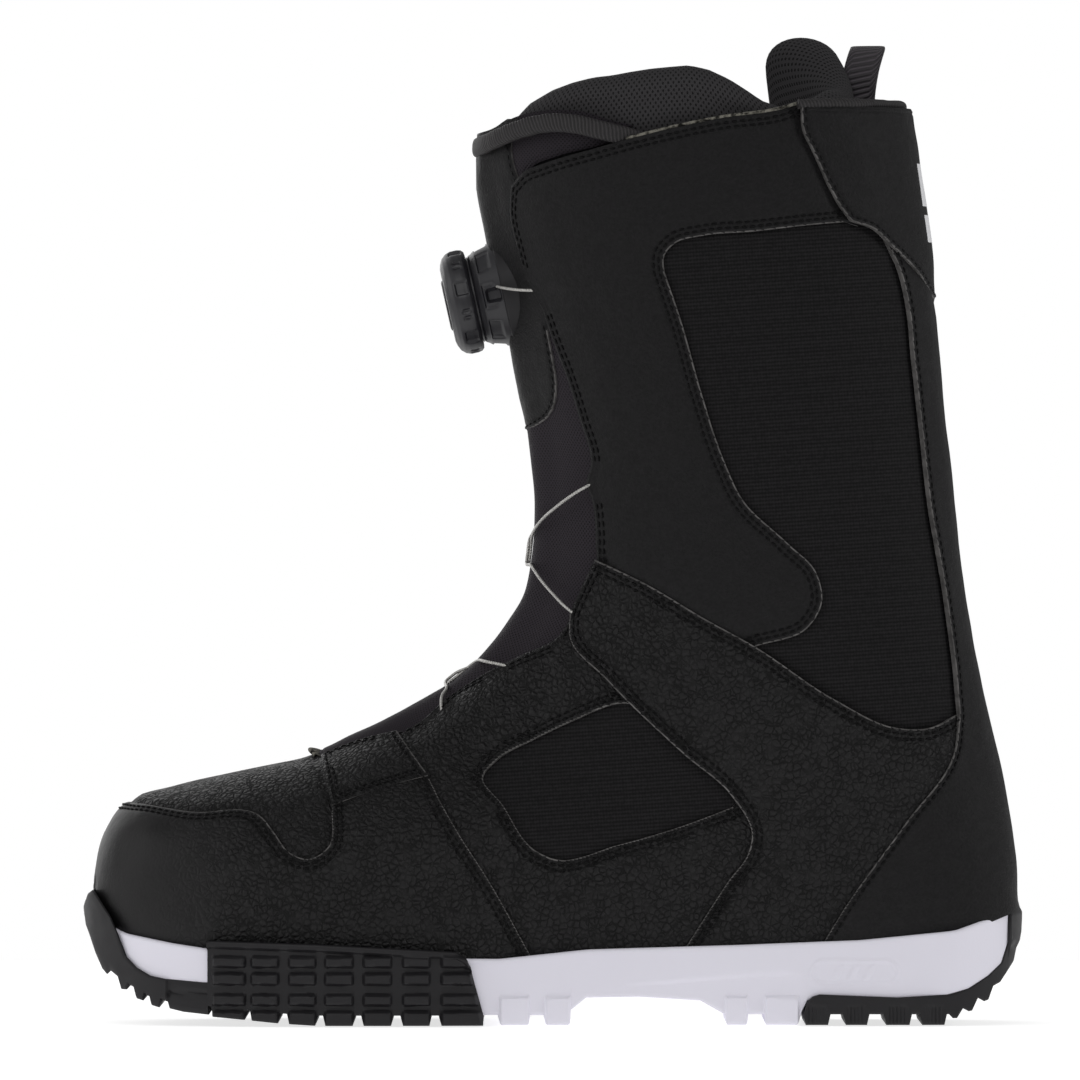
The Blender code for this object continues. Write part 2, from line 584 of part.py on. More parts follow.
def build_dial(paints):
    frame = dial_frame()
    base = turned("dial_base", [(2.2, 3.0), (2.2, -9.0), (17.6, -9.0), (17.6, 3.2), (16.6, 4.4), (4.0, 4.4),
                                (4.0, 3.0)], paints["plastic"], frame=frame)
    boolean(base, upper_core("base_core", 0.3), "DIFFERENCE")
    turned("dial_housing", [(12.4, 4.7), (16.4, 4.7), (16.4, 8.2), (15.6, 9.1), (12.4, 9.1)], paints["plastic"],
           frame=frame)
    turned("lace_spool", [(3.5, 4.9), (11.8, 4.9), (11.8, 5.6), (9.4, 6.1), (9.4, 7.7), (11.8, 8.2), (11.8, 8.8),
                          (3.5, 8.8)], paints["plastic"], frame=frame)
    turned("axle_bushing", [(2.2, 4.9), (3.1, 4.9), (3.1, 12.9), (2.2, 12.9)], paints["plastic"], frame=frame)
    turned("axle_screw", [(0, 1.2), (1.9, 1.2), (1.9, 14.5), (3.3, 14.9), (3.3, 15.9), (0, 15.9)], paints["steel"],
           frame=frame)
    turned("pawl_disc", [(3.5, 9.5), (12.6, 9.5), (12.6, 10.7), (3.5, 10.7)], paints["plastic"], frame=frame)
    turned("knob_cap", [(0, 16.9), (3.8, 16.9), (3.8, 14.2), (2.4, 14.2), (2.4, 13.2), (13.2, 13.2), (13.2, 9.8),
                        (14.6, 9.8), (14.6, 17.4), (11.0, 18.6), (0, 18.6)], paints["plastic"], frame=frame)
    grip_ring("knob_grip", paints["rubber"], frame)


# ---------------------------------------------------------------- cords, webbing and trims
def tube(name, points, radius, paint, resolution=1):
    """Round cord through points, as a mesh made from a bevelled curve with closed ends."""
    curve = bpy.data.curves.new(name, "CURVE")
    curve.dimensions = "3D"
    curve.bevel_depth = radius * MM
    curve.bevel_resolution = resolution
    curve.use_fill_caps = True
    line = curve.splines.new("POLY")
    line.points.add(len(points) - 1)
    for slot, point in zip(line.points, points):
        slot.co = (*point, 1.0)
    source = bpy.data.objects.new(name + "_curve", curve)
    PARTS.objects.link(source)
    mesh = bpy.data.meshes.new_from_object(source.evaluated_get(bpy.context.evaluated_depsgraph_get()))
    bpy.data.objects.remove(source)
    grid = bmesh.new()
    grid.from_mesh(mesh)
    bmesh.ops.remove_doubles(grid, verts=grid.verts, dist=0.00001)
    grid.to_mesh(mesh)
    grid.free()
    return add_object(name, mesh, paint)


def facet_point(position, share, side):
    """Point of the faceted skin at a station position and a share of the way from front to back."""
    position = max(0.0, min(len(STATIONS) - 1.001, position))
    half = RING_STEPS // 2
    turn = math.acos(1.0 - 2.0 * max(0.0, min(1.0, share))) / math.pi * half
    step = min(half - 1, int(turn))
    near, far = [(1.0 - math.cos(math.pi * (step + more) / half)) / 2.0 for more in (0, 1)]
    row = int(position)
    corners = [surface(STATIONS[row + down], at, side) for down in (0, 1) for at in (near, far)]
    across = (share - near) / (far - near)
    upper = corners[0].lerp(corners[1], across)
    lower = corners[2].lerp(corners[3], across)
    return upper.lerp(lower, position - row)


def surface_at(x, z, side, lift):
    """Point over a side-view place: the station through it is found by halving, then lifted outwards."""
    low, high = 0.0, len(STATIONS) - 1.0
    for _ in range(40):
        middle = (low + high) / 2.0
        fx, fz, bx, bz, _ = station_at(middle)
        if (bx - fx) * (z - fz) - (bz - fz) * (x - fx) > 0.0:
            high = middle
        else:
            low = middle
    fx, fz, bx, bz, _ = station_at(low)
    share = ((x - fx) * (bx - fx) + (z - fz) * (bz - fz)) / ((bx - fx) ** 2 + (bz - fz) ** 2)
    share = max(0.0, min(1.0, share))
    point = facet_point(low, share, side)
    reach = 0.03
    run = facet_point(low, share + reach, side) - facet_point(low, share - reach, side)
    rise = facet_point(low - 0.2, share, side) - facet_point(low + 0.2, share, side)
    outward = run.cross(rise)
    if share < reach:
        outward = Vector((-abs(rise.z), 0.0, math.copysign(rise.x, rise.x * rise.z)))
    elif outward.y * side < 0.0:
        outward = -outward
    return point + outward.normalized() * lift * MM


def station_at(position):
    """Station between two rows of the table."""
    position = max(0.0, min(len(STATIONS) - 1.0001, position))
    row = int(position)
    return tuple(mix(a, b, position - row) for a, b in zip(STATIONS[row], STATIONS[row + 1]))


def lace_half(side):
    """One run of the lace: from the dial, down inside one eyestay, then across the throat to the other."""
    over, under = (1.6, -3.0)
    crossing = 1.6 if side < 0 else 2.9
    path = [Vector((DIAL_SEAT[0] - 1.5, side * 18.6, DIAL_SEAT[1] + 1.5)) * MM]
    path += [surface_at(-10.8, 240.6, side, lift) for lift in (over, under)]
    path += [surface_at(x, z, side, under) for x, z in ((-3, 240), (3, 226), (9, 211), (14, 196), (17, 184))]
    path += [surface_at(8.9, 176, side, lift) for lift in (under, over)]
    path += [surface_at(x, z, side, over) for x, z in ((5, 172), (1, 168.5), (-2, 165.2), (-4.5, 162))]
    path += [surface_at(x, z, side, crossing) for x, z in ((-6.2, 156), (-8, 153))]
    path += [surface_at(x, z, -side, crossing) for x, z in ((-6.8, 151), (-5.8, 149))]
    path += [surface_at(x, z, -side, over) for x, z in ((-3.2, 145.6), (0, 142.5), (2.5, 139.5))]
    path += [surface_at(4.3, 136, -side, lift) for lift in (over, under)]
    return path + [surface_at(x, z, -side, under) for x, z in ((10, 131), (6, 124))]


def ribbon(name, points, width_vector, thickness, paint):
    """Webbing strap swept along points in the side plane."""
    def build(grid):
        rows = []
        for number, point in enumerate(points):
            before = points[max(0, number - 1)]
            after = points[min(len(points) - 1, number + 1)]
            direction = (after - before).normalized()
            normal = direction.cross(Vector(width_vector).normalized()).normalized() * thickness * MM / 2
            half = Vector(width_vector) * MM / 2
            corners = ((1, 1), (1, -1), (-1, -1), (-1, 1))
            rows.append([grid.verts.new(point + normal * a + half * b) for a, b in corners])
        for first, second in zip(rows, rows[1:]):
            for step in range(4):
                after = (step + 1) % 4
                grid.faces.new((first[step], first[after], second[after], second[step]))
        grid.faces.new(rows[0])
        grid.faces.new(rows[-1])

    return add_object(name, mesh_from(name, build), paint)


def build_trims(paints):
    piping = [(90, 302.6), (98, 302.8), (106, 303), (112, 303.4), (116, 303.6)]
    path = [surface_at(x, z - 0.2, -1, -1.0) for x, z in piping]
    path += [surface_at(x, z - 0.2, 1, -1.0) for x, z in piping[::-1]]
    tube("collar_piping", path, 1.3, paints["webbing"], 2)
    binding = [(x, z + 2.3) for x, z in TONGUE_TOP[:0:-1]]
    path = [surface_at(x, z, -1, -0.9) for x, z in binding] + [surface_at(x, z, 1, -0.9) for x, z in binding[::-1]]
    tube("tongue_binding", path, 1.5, paints["webbing"], 1)
    x, z = LOOP_HINGE
    loop = [(0.6, -12.0, 0.8), (1.0, -11.6, 9.0), (1.6, -9.4, 14.4), (2.0, -5.0, 16.6), (2.0, 5.0, 16.6),
            (1.6, 9.4, 14.4), (1.0, 11.6, 9.0), (0.6, 12.0, 0.8)]
    path = [Vector((x + a, b, z + c)) * MM for a, b, c in loop]
    ribbon("pull_loop", path, (10.0, 0, 1.0), 1.6, paints["webbing"])


if __name__ == "__main__":
    clear_scene()
    PARTS = collection("snowboard_boot")
    CUTTERS = collection("cutters")
    PAINTS = {
        "leather": material("smooth_leather", (0.012, 0.012, 0.013), 0.62),
        "grain": material("grained_leather", (0.013, 0.013, 0.014), 0.66),
        "ripstop": material("ripstop", (0.012, 0.015, 0.015), 0.8),
        "mesh": material("tongue_mesh", (0.02, 0.017, 0.022), 0.85),
        "webbing": material("webbing", (0.02, 0.02, 0.02), 0.8),
        "plastic": material("dark_plastic", (0.03, 0.03, 0.033), 0.45),
        "liner": material("liner_mesh", (0.02, 0.02, 0.022), 0.9),
        "foam": material("white_foam", (0.86, 0.87, 0.9), 0.55),
        "rubber": material("black_rubber", (0.018, 0.018, 0.02), 0.6),
        "lace": material("lace_steel", (0.62, 0.61, 0.58), 0.4, 0.6),
        "steel": material("steel", (0.5, 0.5, 0.5), 0.35, 1.0),
    }
    build_upper(PAINTS)
    build_tongue(PAINTS)
    build_inner_layers(PAINTS)
    build_liner(PAINTS)
    build_sole(PAINTS)
    build_dial(PAINTS)
    build_trims(PAINTS)
    tube("lace_lateral_run", lace_half(-1.0), LACE_RADIUS, PAINTS["lace"])
    tube("lace_medial_run", lace_half(1.0), LACE_RADIUS, PAINTS["lace"])
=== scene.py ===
"""Detailed visual model of a dial-closure snowboard boot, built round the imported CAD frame.

Script units are millimetres. Toe towards -X, the wearer's outer side towards -Y, ground at Z = 0.
Every soft or flat-cut piece is laid over one skin: a fan of sections that turns from the shaft to the toe.
"""

import math

import bpy
import numpy as np
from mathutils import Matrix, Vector, noise
from mathutils.geometry import delaunay_2d_cdt
from mathutils.kdtree import KDTree


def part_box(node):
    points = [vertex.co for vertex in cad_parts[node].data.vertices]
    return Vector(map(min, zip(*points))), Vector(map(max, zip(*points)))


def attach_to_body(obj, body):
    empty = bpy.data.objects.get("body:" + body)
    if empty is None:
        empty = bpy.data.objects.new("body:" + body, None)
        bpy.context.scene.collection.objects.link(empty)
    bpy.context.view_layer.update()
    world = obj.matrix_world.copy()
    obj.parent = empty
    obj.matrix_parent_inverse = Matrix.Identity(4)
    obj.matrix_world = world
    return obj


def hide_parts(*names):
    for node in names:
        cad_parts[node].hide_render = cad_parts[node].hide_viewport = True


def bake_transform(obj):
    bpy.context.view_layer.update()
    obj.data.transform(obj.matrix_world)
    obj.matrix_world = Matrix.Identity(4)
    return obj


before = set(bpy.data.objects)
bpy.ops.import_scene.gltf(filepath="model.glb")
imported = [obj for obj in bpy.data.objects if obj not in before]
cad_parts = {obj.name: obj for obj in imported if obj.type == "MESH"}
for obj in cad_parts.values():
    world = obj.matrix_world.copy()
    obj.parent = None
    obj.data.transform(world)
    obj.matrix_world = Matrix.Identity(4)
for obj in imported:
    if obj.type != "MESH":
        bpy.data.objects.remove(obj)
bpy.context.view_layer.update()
SOLE_LENGTH = 308.0
MM = (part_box("heel_outsole")[1].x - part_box("toe_outsole")[0].x) / SOLE_LENGTH

# ---------------------------------------------------------------- driving dimensions (mm)
TOE_TIP_X = -151.0
FOREFOOT_X = -70.0
FOREFOOT_HALF_WIDTH = 54.0
WAIST_HALF_WIDTH = 45.0
HEEL_HALF_WIDTH = 42.0
ANKLE_HALF_WIDTH = 46.5
SHAFT_HALF_WIDTH = 53.0
TOE_SWING = 4.0
SOLE_MARGIN = 2.2
SOLE_TIP_X = -154.0
SOLE_HEEL_X = 154.0
DIAL_SEAT = (-16.0, 0.0, 239.5)
DIAL_TILT = math.radians(12.5)
DIAL_RADIUS = 17.2
CORD_RADIUS = 0.5
STITCH_LENGTH = 2.0
STITCH_PITCH = 2.75
STITCH_RADIUS = 0.36
EDGE_STEP = 1.3
FILL_STEP = 2.3
UNDERLAP = 4.0
CLOTH = 1.5
PUFF = 0.35
RELIEF_SIZE = 26.0
RELIEF_HEIGHT = 0.35
SIDES = (("lateral", -1.0), ("medial", 1.0))

# Each station runs from the front profile (x, z) to the back or bottom profile (x, z).
# The last number is how square the section is towards the back or bottom.
STATIONS = [
    (-24.0, 322.0, 114.0, 338.0, 2.3),
    (-24.5, 302.0, 116.0, 316.0, 2.3),
    (-25.2, 280.0, 120.5, 280.0, 2.3),
    (-21.4, 258.0, 124.0, 256.0, 2.3),
    (-16.5, 238.0, 126.0, 232.0, 2.3),
    (-12.0, 214.0, 128.5, 205.0, 2.3),
    (-7.5, 188.0, 131.5, 178.0, 2.3),
    (-6.0, 164.0, 134.5, 150.0, 2.4),
    (-8.5, 144.0, 139.0, 122.0, 2.5),
    (-14.5, 132.0, 144.0, 99.0, 2.7),
    (-22.0, 122.5, 148.5, 78.0, 3.0),
    (-31.5, 113.5, 151.5, 60.0, 3.6),
    (-41.0, 107.5, 152.5, 44.0, 4.4),
    (-48.0, 103.5, 150.0, 24.0, 5.0),
    (-54.0, 100.5, 120.0, 12.0, 5.0),
    (-60.0, 97.5, 76.0, 11.0, 5.0),
    (-66.5, 94.5, 35.0, 10.0, 5.0),
    (-75.0, 90.5, -2.0, 9.0, 5.0),
    (-85.0, 87.0, -38.0, 8.5, 5.0),
    (-98.0, 84.2, -72.0, 10.0, 4.5),
    (-112.0, 81.2, -100.0, 12.0, 4.2),
    (-125.0, 78.0, -120.0, 14.0, 4.0),
    (-136.0, 75.0, -133.5, 16.5, 3.6),
    (-143.5, 69.0, -142.0, 20.0, 3.2),
    (-148.5, 58.0, -147.0, 25.0, 2.8),
    (-150.5, 47.0, -150.0, 31.0, 2.5),
    (-151.0, 39.0, -151.0, 39.0, 2.5),
]
FEATHER = [(-160, 37), (-149, 33), (-142, 29.5), (-126, 26.5), (-112, 24.5), (-60, 22), (-17, 21.5),
           (12, 24.5), (63, 26), (102, 27.5), (133, 30.5), (150, 36.5), (165, 43)]

# ---------------------------------------------------------------- pattern lines in side view (x, z)
CUFF_FRONT = [(13.5, 152), (13.5, 162), (12, 172.5), (10.5, 176), (12, 183), (8, 198), (3.5, 212.5),
              (-1, 224), (-5, 235), (-8.5, 241), (-12.5, 254.5), (-15, 266), (-14.5, 274)]
CUFF_TOP = [(-14.5, 274), (-10.5, 278.5), (-3, 281.5), (11, 285.5), (26, 289.5), (38.5, 292.5), (55.5, 296),
            (76, 299), (81.5, 301)]
COLLAR_FRONT = [(81.5, 301), (82, 292.5), (86, 284), (91, 273), (94.5, 267), (98, 262.5)]
COLLAR_LOW = [(98, 262.5), (105.5, 260), (111.5, 254.5), (120, 246), (126, 237), (130, 234)]
WINDOW_TOP = [(98, 262.5), (83, 261), (66, 259), (49, 257.5), (40, 255), (36.5, 251), (36.5, 246)]
WINDOW_FRONT = [(36.5, 246), (42, 230), (49, 205.5), (56.5, 183.5), (62, 172), (77.5, 157), (86.5, 148),
                (88.5, 138), (84, 130), (66.5, 123.5)]
BACKSTAY_LINE = [(111.5, 254.5), (115, 245), (119.5, 214.5), (124, 174.5), (130.5, 134.5), (134, 101.5)]
QUARTER_TOP = [(13.5, 152), (19, 149.5), (30.5, 144), (48.5, 133.5), (66.5, 123.5), (93, 106), (113, 97),
               (124, 97), (134, 101.5)]
LOW_EYESTAY = [(5.5, 134.5), (2, 128), (-11, 121.5), (-21.5, 116.5), (-35.5, 107.5), (-44, 100), (-51, 96.5),
               (-64.5, 93), (-76, 88.5)]
OVERLAY_FRONT = [(5.5, 134.5), (5.5, 127), (18, 112.5), (43, 88.5), (59, 74.5), (65.5, 62), (64.5, 56.5),
                 (57.5, 46.5), (41, 20)]
QUARTER_FRONT = [(-51, 96.5), (-41, 82.5), (-36.5, 73.5), (-30.5, 63), (-20, 46.5), (-4, 18)]
COUNTER_LINE = [(134, 101.5), (132.5, 90), (115.5, 65.5), (97, 40), (84, 20)]
LOW_WINDOW = [(43, 88.5), (25, 105), (6, 99.5), (-7.5, 93), (-18, 87.5), (-22.5, 82), (-16, 72.5), (-5, 57),
              (0, 54.5), (22.5, 59), (43, 65), (60.5, 71.5)]
TOE_CAP_TOP = [(-141.6, 72.8), (-134, 72.3), (-118, 70), (-95, 68.5), (-90.5, 63), (-86, 57), (-79, 54.5),
               (-73, 58.5), (-72, 72.5)]
WING_LOW = [(-72, 72.5), (-55, 78), (-40.5, 82)]
TONGUE_TOP = [(-34, 284), (-23, 289), (-18.5, 292), (-11.5, 294), (-1.5, 295), (7, 294.5), (15.5, 292),
              (26, 289.5)]
SHIELD_SEAM = [(-16.5, 293), (-15.5, 282), (-13.5, 276)]
SHIELD_LOW = [(-6.5, 234), (-4, 226.5), (-2.2, 217), (-1.2, 209.5), (-2.2, 202), (-8, 194.5), (-20, 189)]


# ---------------------------------------------------------------- numbers
def mix(a, b, t):
    return a + (b - a) * t


def smooth(t):
    """Smooth step from 0 to 1."""
    t = np.clip(t, 0.0, 1.0)
    return t * t * (3.0 - 2.0 * t)


def unit(vectors):
    """Rows scaled to length one."""
    length = np.linalg.norm(vectors, axis=-1, keepdims=True)
    return vectors / np.maximum(length, 1e-9)


def lengths(points):
    """Distance along a line at each of its points."""
    return np.concatenate([[0.0], np.cumsum(np.linalg.norm(np.diff(points, axis=0), axis=1))])


def feather(x):
    """Height of the line between upper and sole."""
    line = np.array(FEATHER, float)
    return np.interp(x, line[:, 0], line[:, 1])


def foot_half_width(x):
    """Half width of the upper in plan."""
    reach = np.clip((FOREFOOT_X - x) / (FOREFOOT_X - TOE_TIP_X), 0.0, 1.0)
    toe = FOREFOOT_HALF_WIDTH * (1.0 - reach ** 2.3) ** (1.0 / 2.3)
    waist = mix(FOREFOOT_HALF_WIDTH, WAIST_HALF_WIDTH, smooth((x - FOREFOOT_X) / 95.0))
    return np.where(x < FOREFOOT_X, toe, mix(waist, HEEL_HALF_WIDTH, smooth((x - 25.0) / 75.0)))


def half_width(x, z):
    """Half width of the boot at a side-view point."""
    shaft = mix(ANKLE_HALF_WIDTH, SHAFT_HALF_WIDTH, smooth((z - 130.0) / 160.0))
    return mix(foot_half_width(x), shaft, smooth((z - 55.0) / 75.0))


def swing(x):
    """Sideways shift of the centre line towards the big toe."""
    return TOE_SWING * smooth((-20.0 - x) / 120.0)


def hermite(points, per_span):
    """Smooth line through points, with the given number of steps in each span."""
    points = np.asarray(points, float)
    chord = np.maximum(np.linalg.norm(np.diff(points, axis=0), axis=1), 1e-6)
    slope = np.diff(points, axis=0) / chord[:, None]
    tangent = np.vstack([slope[:1], slope[-1:]])
    if len(points) > 2:
        weight = (chord[:-1] / (chord[:-1] + chord[1:]))[:, None]
        middle = slope[:-1] * (1.0 - weight) + slope[1:] * weight
        tangent = np.vstack([slope[:1], middle, slope[-1:]])
    made = []
    for row in range(len(points) - 1):
        t = np.linspace(0.0, 1.0, per_span, endpoint=False)[:, None]
        h = chord[row]
        made.append((2 * t ** 3 - 3 * t ** 2 + 1) * points[row] + (t ** 3 - 2 * t ** 2 + t) * h * tangent[row]
                    + (-2 * t ** 3 + 3 * t ** 2) * points[row + 1] + (t ** 3 - t ** 2) * h * tangent[row + 1])
    return np.vstack([*made, points[-1:]])


# ---------------------------------------------------------------- the skin
# Rows per station, columns round half of a section, how far flat places count round that half,
# and the rows that belong to the shaft.
FINE = 10
COLUMNS = 181
SPAN = 170.0
SHAFT_ROWS = 130


def build_table():
    """Points of the skin on an even grid: rows along the boot, columns round half of each section."""
    stations = np.array(STATIONS)
    position = np.linspace(0.0, len(stations) - 1.0, (len(stations) - 1) * FINE + 1)
    rows = np.clip(np.floor(position).astype(int), 0, len(stations) - 2)
    t = (position - rows)[:, None]
    p0 = stations[np.maximum(rows - 1, 0)]
    p1 = stations[rows]
    p2 = stations[rows + 1]
    p3 = stations[np.minimum(rows + 2, len(stations) - 1)]
    fan = 0.5 * (2 * p1 + (p2 - p0) * t + (2 * p0 - 5 * p1 + 4 * p2 - p3) * t ** 2
                 + (3 * p1 - p0 - 3 * p2 + p3) * t ** 3)
    turn = (1.0 - np.cos(np.pi * np.linspace(0.0, 1.0, 901))) / 2.0
    dense = (1.0 - np.cos(np.pi * turn)) / 2.0
    even = np.linspace(0.0, 1.0, COLUMNS)
    shares = np.zeros((len(fan), COLUMNS))
    points = np.zeros((len(fan), COLUMNS, 3))
    for number, row in enumerate(fan):
        line = section(row, dense)
        length = lengths(line)
        shares[number] = np.interp(even, length / length[-1], dense) if length[-1] > 1e-6 else even
        points[number] = section(row, shares[number])
    steps = np.linalg.norm(np.diff(points[:, [0, COLUMNS // 2, -1]], axis=0), axis=2).mean(axis=1)
    return fan, shares, points, np.concatenate([[0.0], np.cumsum(steps)])


def section(row, share):
    """Outer half of one section, from front to back."""
    x = mix(row[0], row[2], share)
    z = mix(row[1], row[3], share)
    power = mix(2.25, row[4], smooth((share - 0.35) / 0.3))
    bulge = np.maximum(0.0, 1.0 - np.abs(2.0 * share - 1.0) ** power) ** (1.0 / power)
    return np.stack([x, swing(x) - half_width(x, z) * bulge, z], axis=-1)


FAN, SHARES, SKIN, DEPTHS = build_table()
ROWS = np.arange(len(FAN)) / FINE


def skin_point(q):
    """Skin point at a flat place: X counts round the boot from the front line, Y along it from the top."""
    q = np.asarray(q, float)
    turn = q[:, 0] / SPAN
    inner = (turn < 0.0) | (turn > 1.0)
    fold = np.clip(np.where(turn > 1.0, 2.0 - turn, np.abs(turn)), 0.0, 1.0) * (COLUMNS - 1)
    row = np.clip(np.interp(q[:, 1], DEPTHS, ROWS) * FINE, 0.0, len(FAN) - 1.0)
    r0 = np.minimum(row.astype(int), len(FAN) - 2)
    c0 = np.minimum(fold.astype(int), COLUMNS - 2)
    a = (row - r0)[:, None]
    b = (fold - c0)[:, None]
    upper = mix(SKIN[r0, c0], SKIN[r0, c0 + 1], b)
    lower = mix(SKIN[r0 + 1, c0], SKIN[r0 + 1, c0 + 1], b)
    point = mix(upper, lower, a)
    point[:, 1] = np.where(inner, 2.0 * swing(point[:, 0]) - point[:, 1], point[:, 1])
    return point


def skin_frame(q):
    """Point, outward normal and the two tangents of the skin."""
    q = np.asarray(q, float)
    reach = 0.9
    across = (skin_point(q + [reach, 0.0]) - skin_point(q - [reach, 0.0])) / (2 * reach)
    along = (skin_point(q + [0.0, reach]) - skin_point(q - [0.0, reach])) / (2 * reach)
    normal = np.cross(along, across)
    weak = np.linalg.norm(normal, axis=1) < 1e-4
    normal[weak] = (-1.0, 0.0, 0.0)
    return skin_point(q), unit(normal), across, along


def to_flat(points):
    """Flat place of side-view points, on the outer side. The station through each is found by halving."""
    points = np.asarray(points, float)
    low = np.zeros(len(points))
    high = np.full(len(points), len(FAN) - 1.0)
    index = np.arange(len(FAN))
    for _ in range(40):
        middle = (low + high) / 2.0
        fx, fz, bx, bz = [np.interp(middle, index, FAN[:, column]) for column in range(4)]
        above = (bx - fx) * (points[:, 1] - fz) - (bz - fz) * (points[:, 0] - fx) > 0.0
        high = np.where(above, middle, high)
        low = np.where(above, low, middle)
    fx, fz, bx, bz = [np.interp(low, index, FAN[:, column]) for column in range(4)]
    length = np.maximum((bx - fx) ** 2 + (bz - fz) ** 2, 1e-6)
    share = np.clip(((points[:, 0] - fx) * (bx - fx) + (points[:, 1] - fz) * (bz - fz)) / length, 0.0, 1.0)
    turn = np.zeros(len(points))
    for number, (row, value) in enumerate(zip(low, share)):
        r0 = min(int(row), len(FAN) - 2)
        line = mix(SHARES[r0], SHARES[r0 + 1], row - r0)
        turn[number] = np.interp(value, line, np.linspace(0.0, 1.0, COLUMNS))
    return np.stack([turn * SPAN, np.interp(low / FINE, ROWS, DEPTHS)], axis=1)


def push(q, direction, distance):
    """Flat places moved over the skin in a space direction."""
    _, _, across, along = skin_frame(q)
    aa = (across * across).sum(1)
    bb = (along * along).sum(1)
    ab = (across * along).sum(1)
    da = (across * direction).sum(1) * distance
    db = (along * direction).sum(1) * distance
    det = np.maximum(aa * bb - ab * ab, 1e-4)
    move = np.stack([(da * bb - db * ab) / det, (db * aa - da * ab) / det], axis=1)
    return q + np.clip(move, -6.0, 6.0)


def even(q, step, closed=False):
    """Flat line sampled again at even steps over the skin."""
    if closed:
        q = np.vstack([q, q[:1]])
    length = lengths(skin_point(q))
    count = max(2, int(round(length[-1] / step)) + 1)
    at = np.linspace(0.0, length[-1], count)
    line = np.stack([np.interp(at, length, q[:, 0]), np.interp(at, length, q[:, 1])], axis=1)
    return line[:-1] if closed else line


# ---------------------------------------------------------------- meshes
def add_mesh(name, points, faces, materials, slots=None, sharp=42.0):
    """New object from points in millimetres."""
    mesh = bpy.data.meshes.new(name)
    mesh.from_pydata([tuple(point) for point in np.asarray(points) * MM], [], faces)
    for paint in materials:
        mesh.materials.append(paint)
    if slots is not None:
        mesh.polygons.foreach_set("material_index", np.asarray(slots, np.int32))
    mesh.validate()
    mesh.polygons.foreach_set("use_smooth", np.ones(len(mesh.polygons), bool))
    mesh.set_sharp_from_angle(angle=math.radians(sharp))
    made = bpy.data.objects.new(name, mesh)
    bpy.context.scene.collection.objects.link(made)
    return made


def tube_faces(rows, size, wrap=False, caps=False):
    """Quads between rings of the same size. wrap joins the last ring to the first, caps close both ends."""
    made = []
    for row in range(rows if wrap else rows - 1):
        a, b = row * size, (row + 1) % rows * size
        made += [(a + step, a + (step + 1) % size, b + (step + 1) % size, b + step) for step in range(size)]
    if caps:
        made.append(tuple(range(size))[::-1])
        made.append(tuple((rows - 1) * size + step for step in range(size)))
    return made


def relief(points):
    """Soft unevenness of hand-lasted leather."""
    places = [Vector(point) / RELIEF_SIZE for point in points]
    return np.array([noise.noise(place) + 0.5 * noise.noise(place / 0.4) for place in places]) * RELIEF_HEIGHT


def tree_of(points):
    tree = KDTree(len(points))
    for number, point in enumerate(points):
        tree.insert(point, number)
    tree.balance()
    return tree


def distances(tree, points):
    """Distance of each point to the nearest one in the tree, and which one that is."""
    found = [tree.find(point)[1:] for point in points]
    return np.array([item[1] for item in found]), np.array([item[0] for item in found])


STITCHES = {}


def loop_of(parts, mirror, tail):
    """Closed flat outline from side-view parts, with the kind of each sample."""
    places, kinds = [], []
    for points, kind in parts:
        line = even(to_flat(hermite(points, 14)), EDGE_STEP)
        places.append(line)
        kinds.append(np.full(len(line), kind))
    if tail is not None:
        line = even(np.array(tail, float), EDGE_STEP * 2)
        places.append(line)
        kinds.append(np.full(len(line), "under"))
    places = np.vstack(places)
    kinds = np.concatenate(kinds)
    keep = np.concatenate([[True], np.linalg.norm(np.diff(places, axis=0), axis=1) > 0.05])
    places, kinds = places[keep], kinds[keep]
    if mirror is not None:
        centre = {"front": 0.0, "back": SPAN}[mirror]
        places[0, 0] = centre
        places[-1, 0] = centre
        other = places[1:-1][::-1].copy()
        other[:, 0] = 2.0 * centre - other[:, 0]
        places = np.vstack([places, other])
        kinds = np.concatenate([kinds, kinds[1:-1][::-1]])
    elif np.linalg.norm(places[0] - places[-1]) < 0.05:
        places, kinds = places[:-1], kinds[:-1]
    area = np.sum(places[:, 0] * np.roll(places[:, 1], -1) - np.roll(places[:, 0], -1) * places[:, 1])
    if area < 0.0:
        places, kinds = places[::-1].copy(), kinds[::-1].copy()
    return places, kinds


def inward_of(places):
    """Space direction over the skin towards the inside of a loop that runs counter-clockwise."""
    points, normals, _, _ = skin_frame(places)
    tangent = unit(np.roll(points, -1, axis=0) - np.roll(points, 1, axis=0))
    return unit(np.cross(tangent, normals))


def fill(places, inward, rows, step):
    """Flat places inside a loop: rows that follow its edge, then an even field."""
    edge_tree = tree_of(skin_point(places))
    found = []
    for before, distance in zip([0.0, *rows], rows):
        row = push(places, inward, distance) if before == 0.0 else push(found[-1], inward, distance - before)
        found.append(row)
    kept = []
    for row, distance in zip(found, rows):
        gap, _ = distances(edge_tree, skin_point(row))
        kept.append(row[gap > distance * 0.9])
    low, high = places.min(axis=0), places.max(axis=0)
    xs = np.arange(low[0], high[0], step)
    ys = np.arange(low[1], high[1], step * 0.87)
    field = np.array([(x + (step / 2 if number % 2 else 0.0), y) for number, y in enumerate(ys) for x in xs])
    field = field[inside(field, places)]
    if len(field):
        gap, _ = distances(edge_tree, skin_point(field))
        field = field[gap > rows[-1] + step * 0.6]
    return np.vstack([*kept, field]) if len(field) else np.vstack(kept)


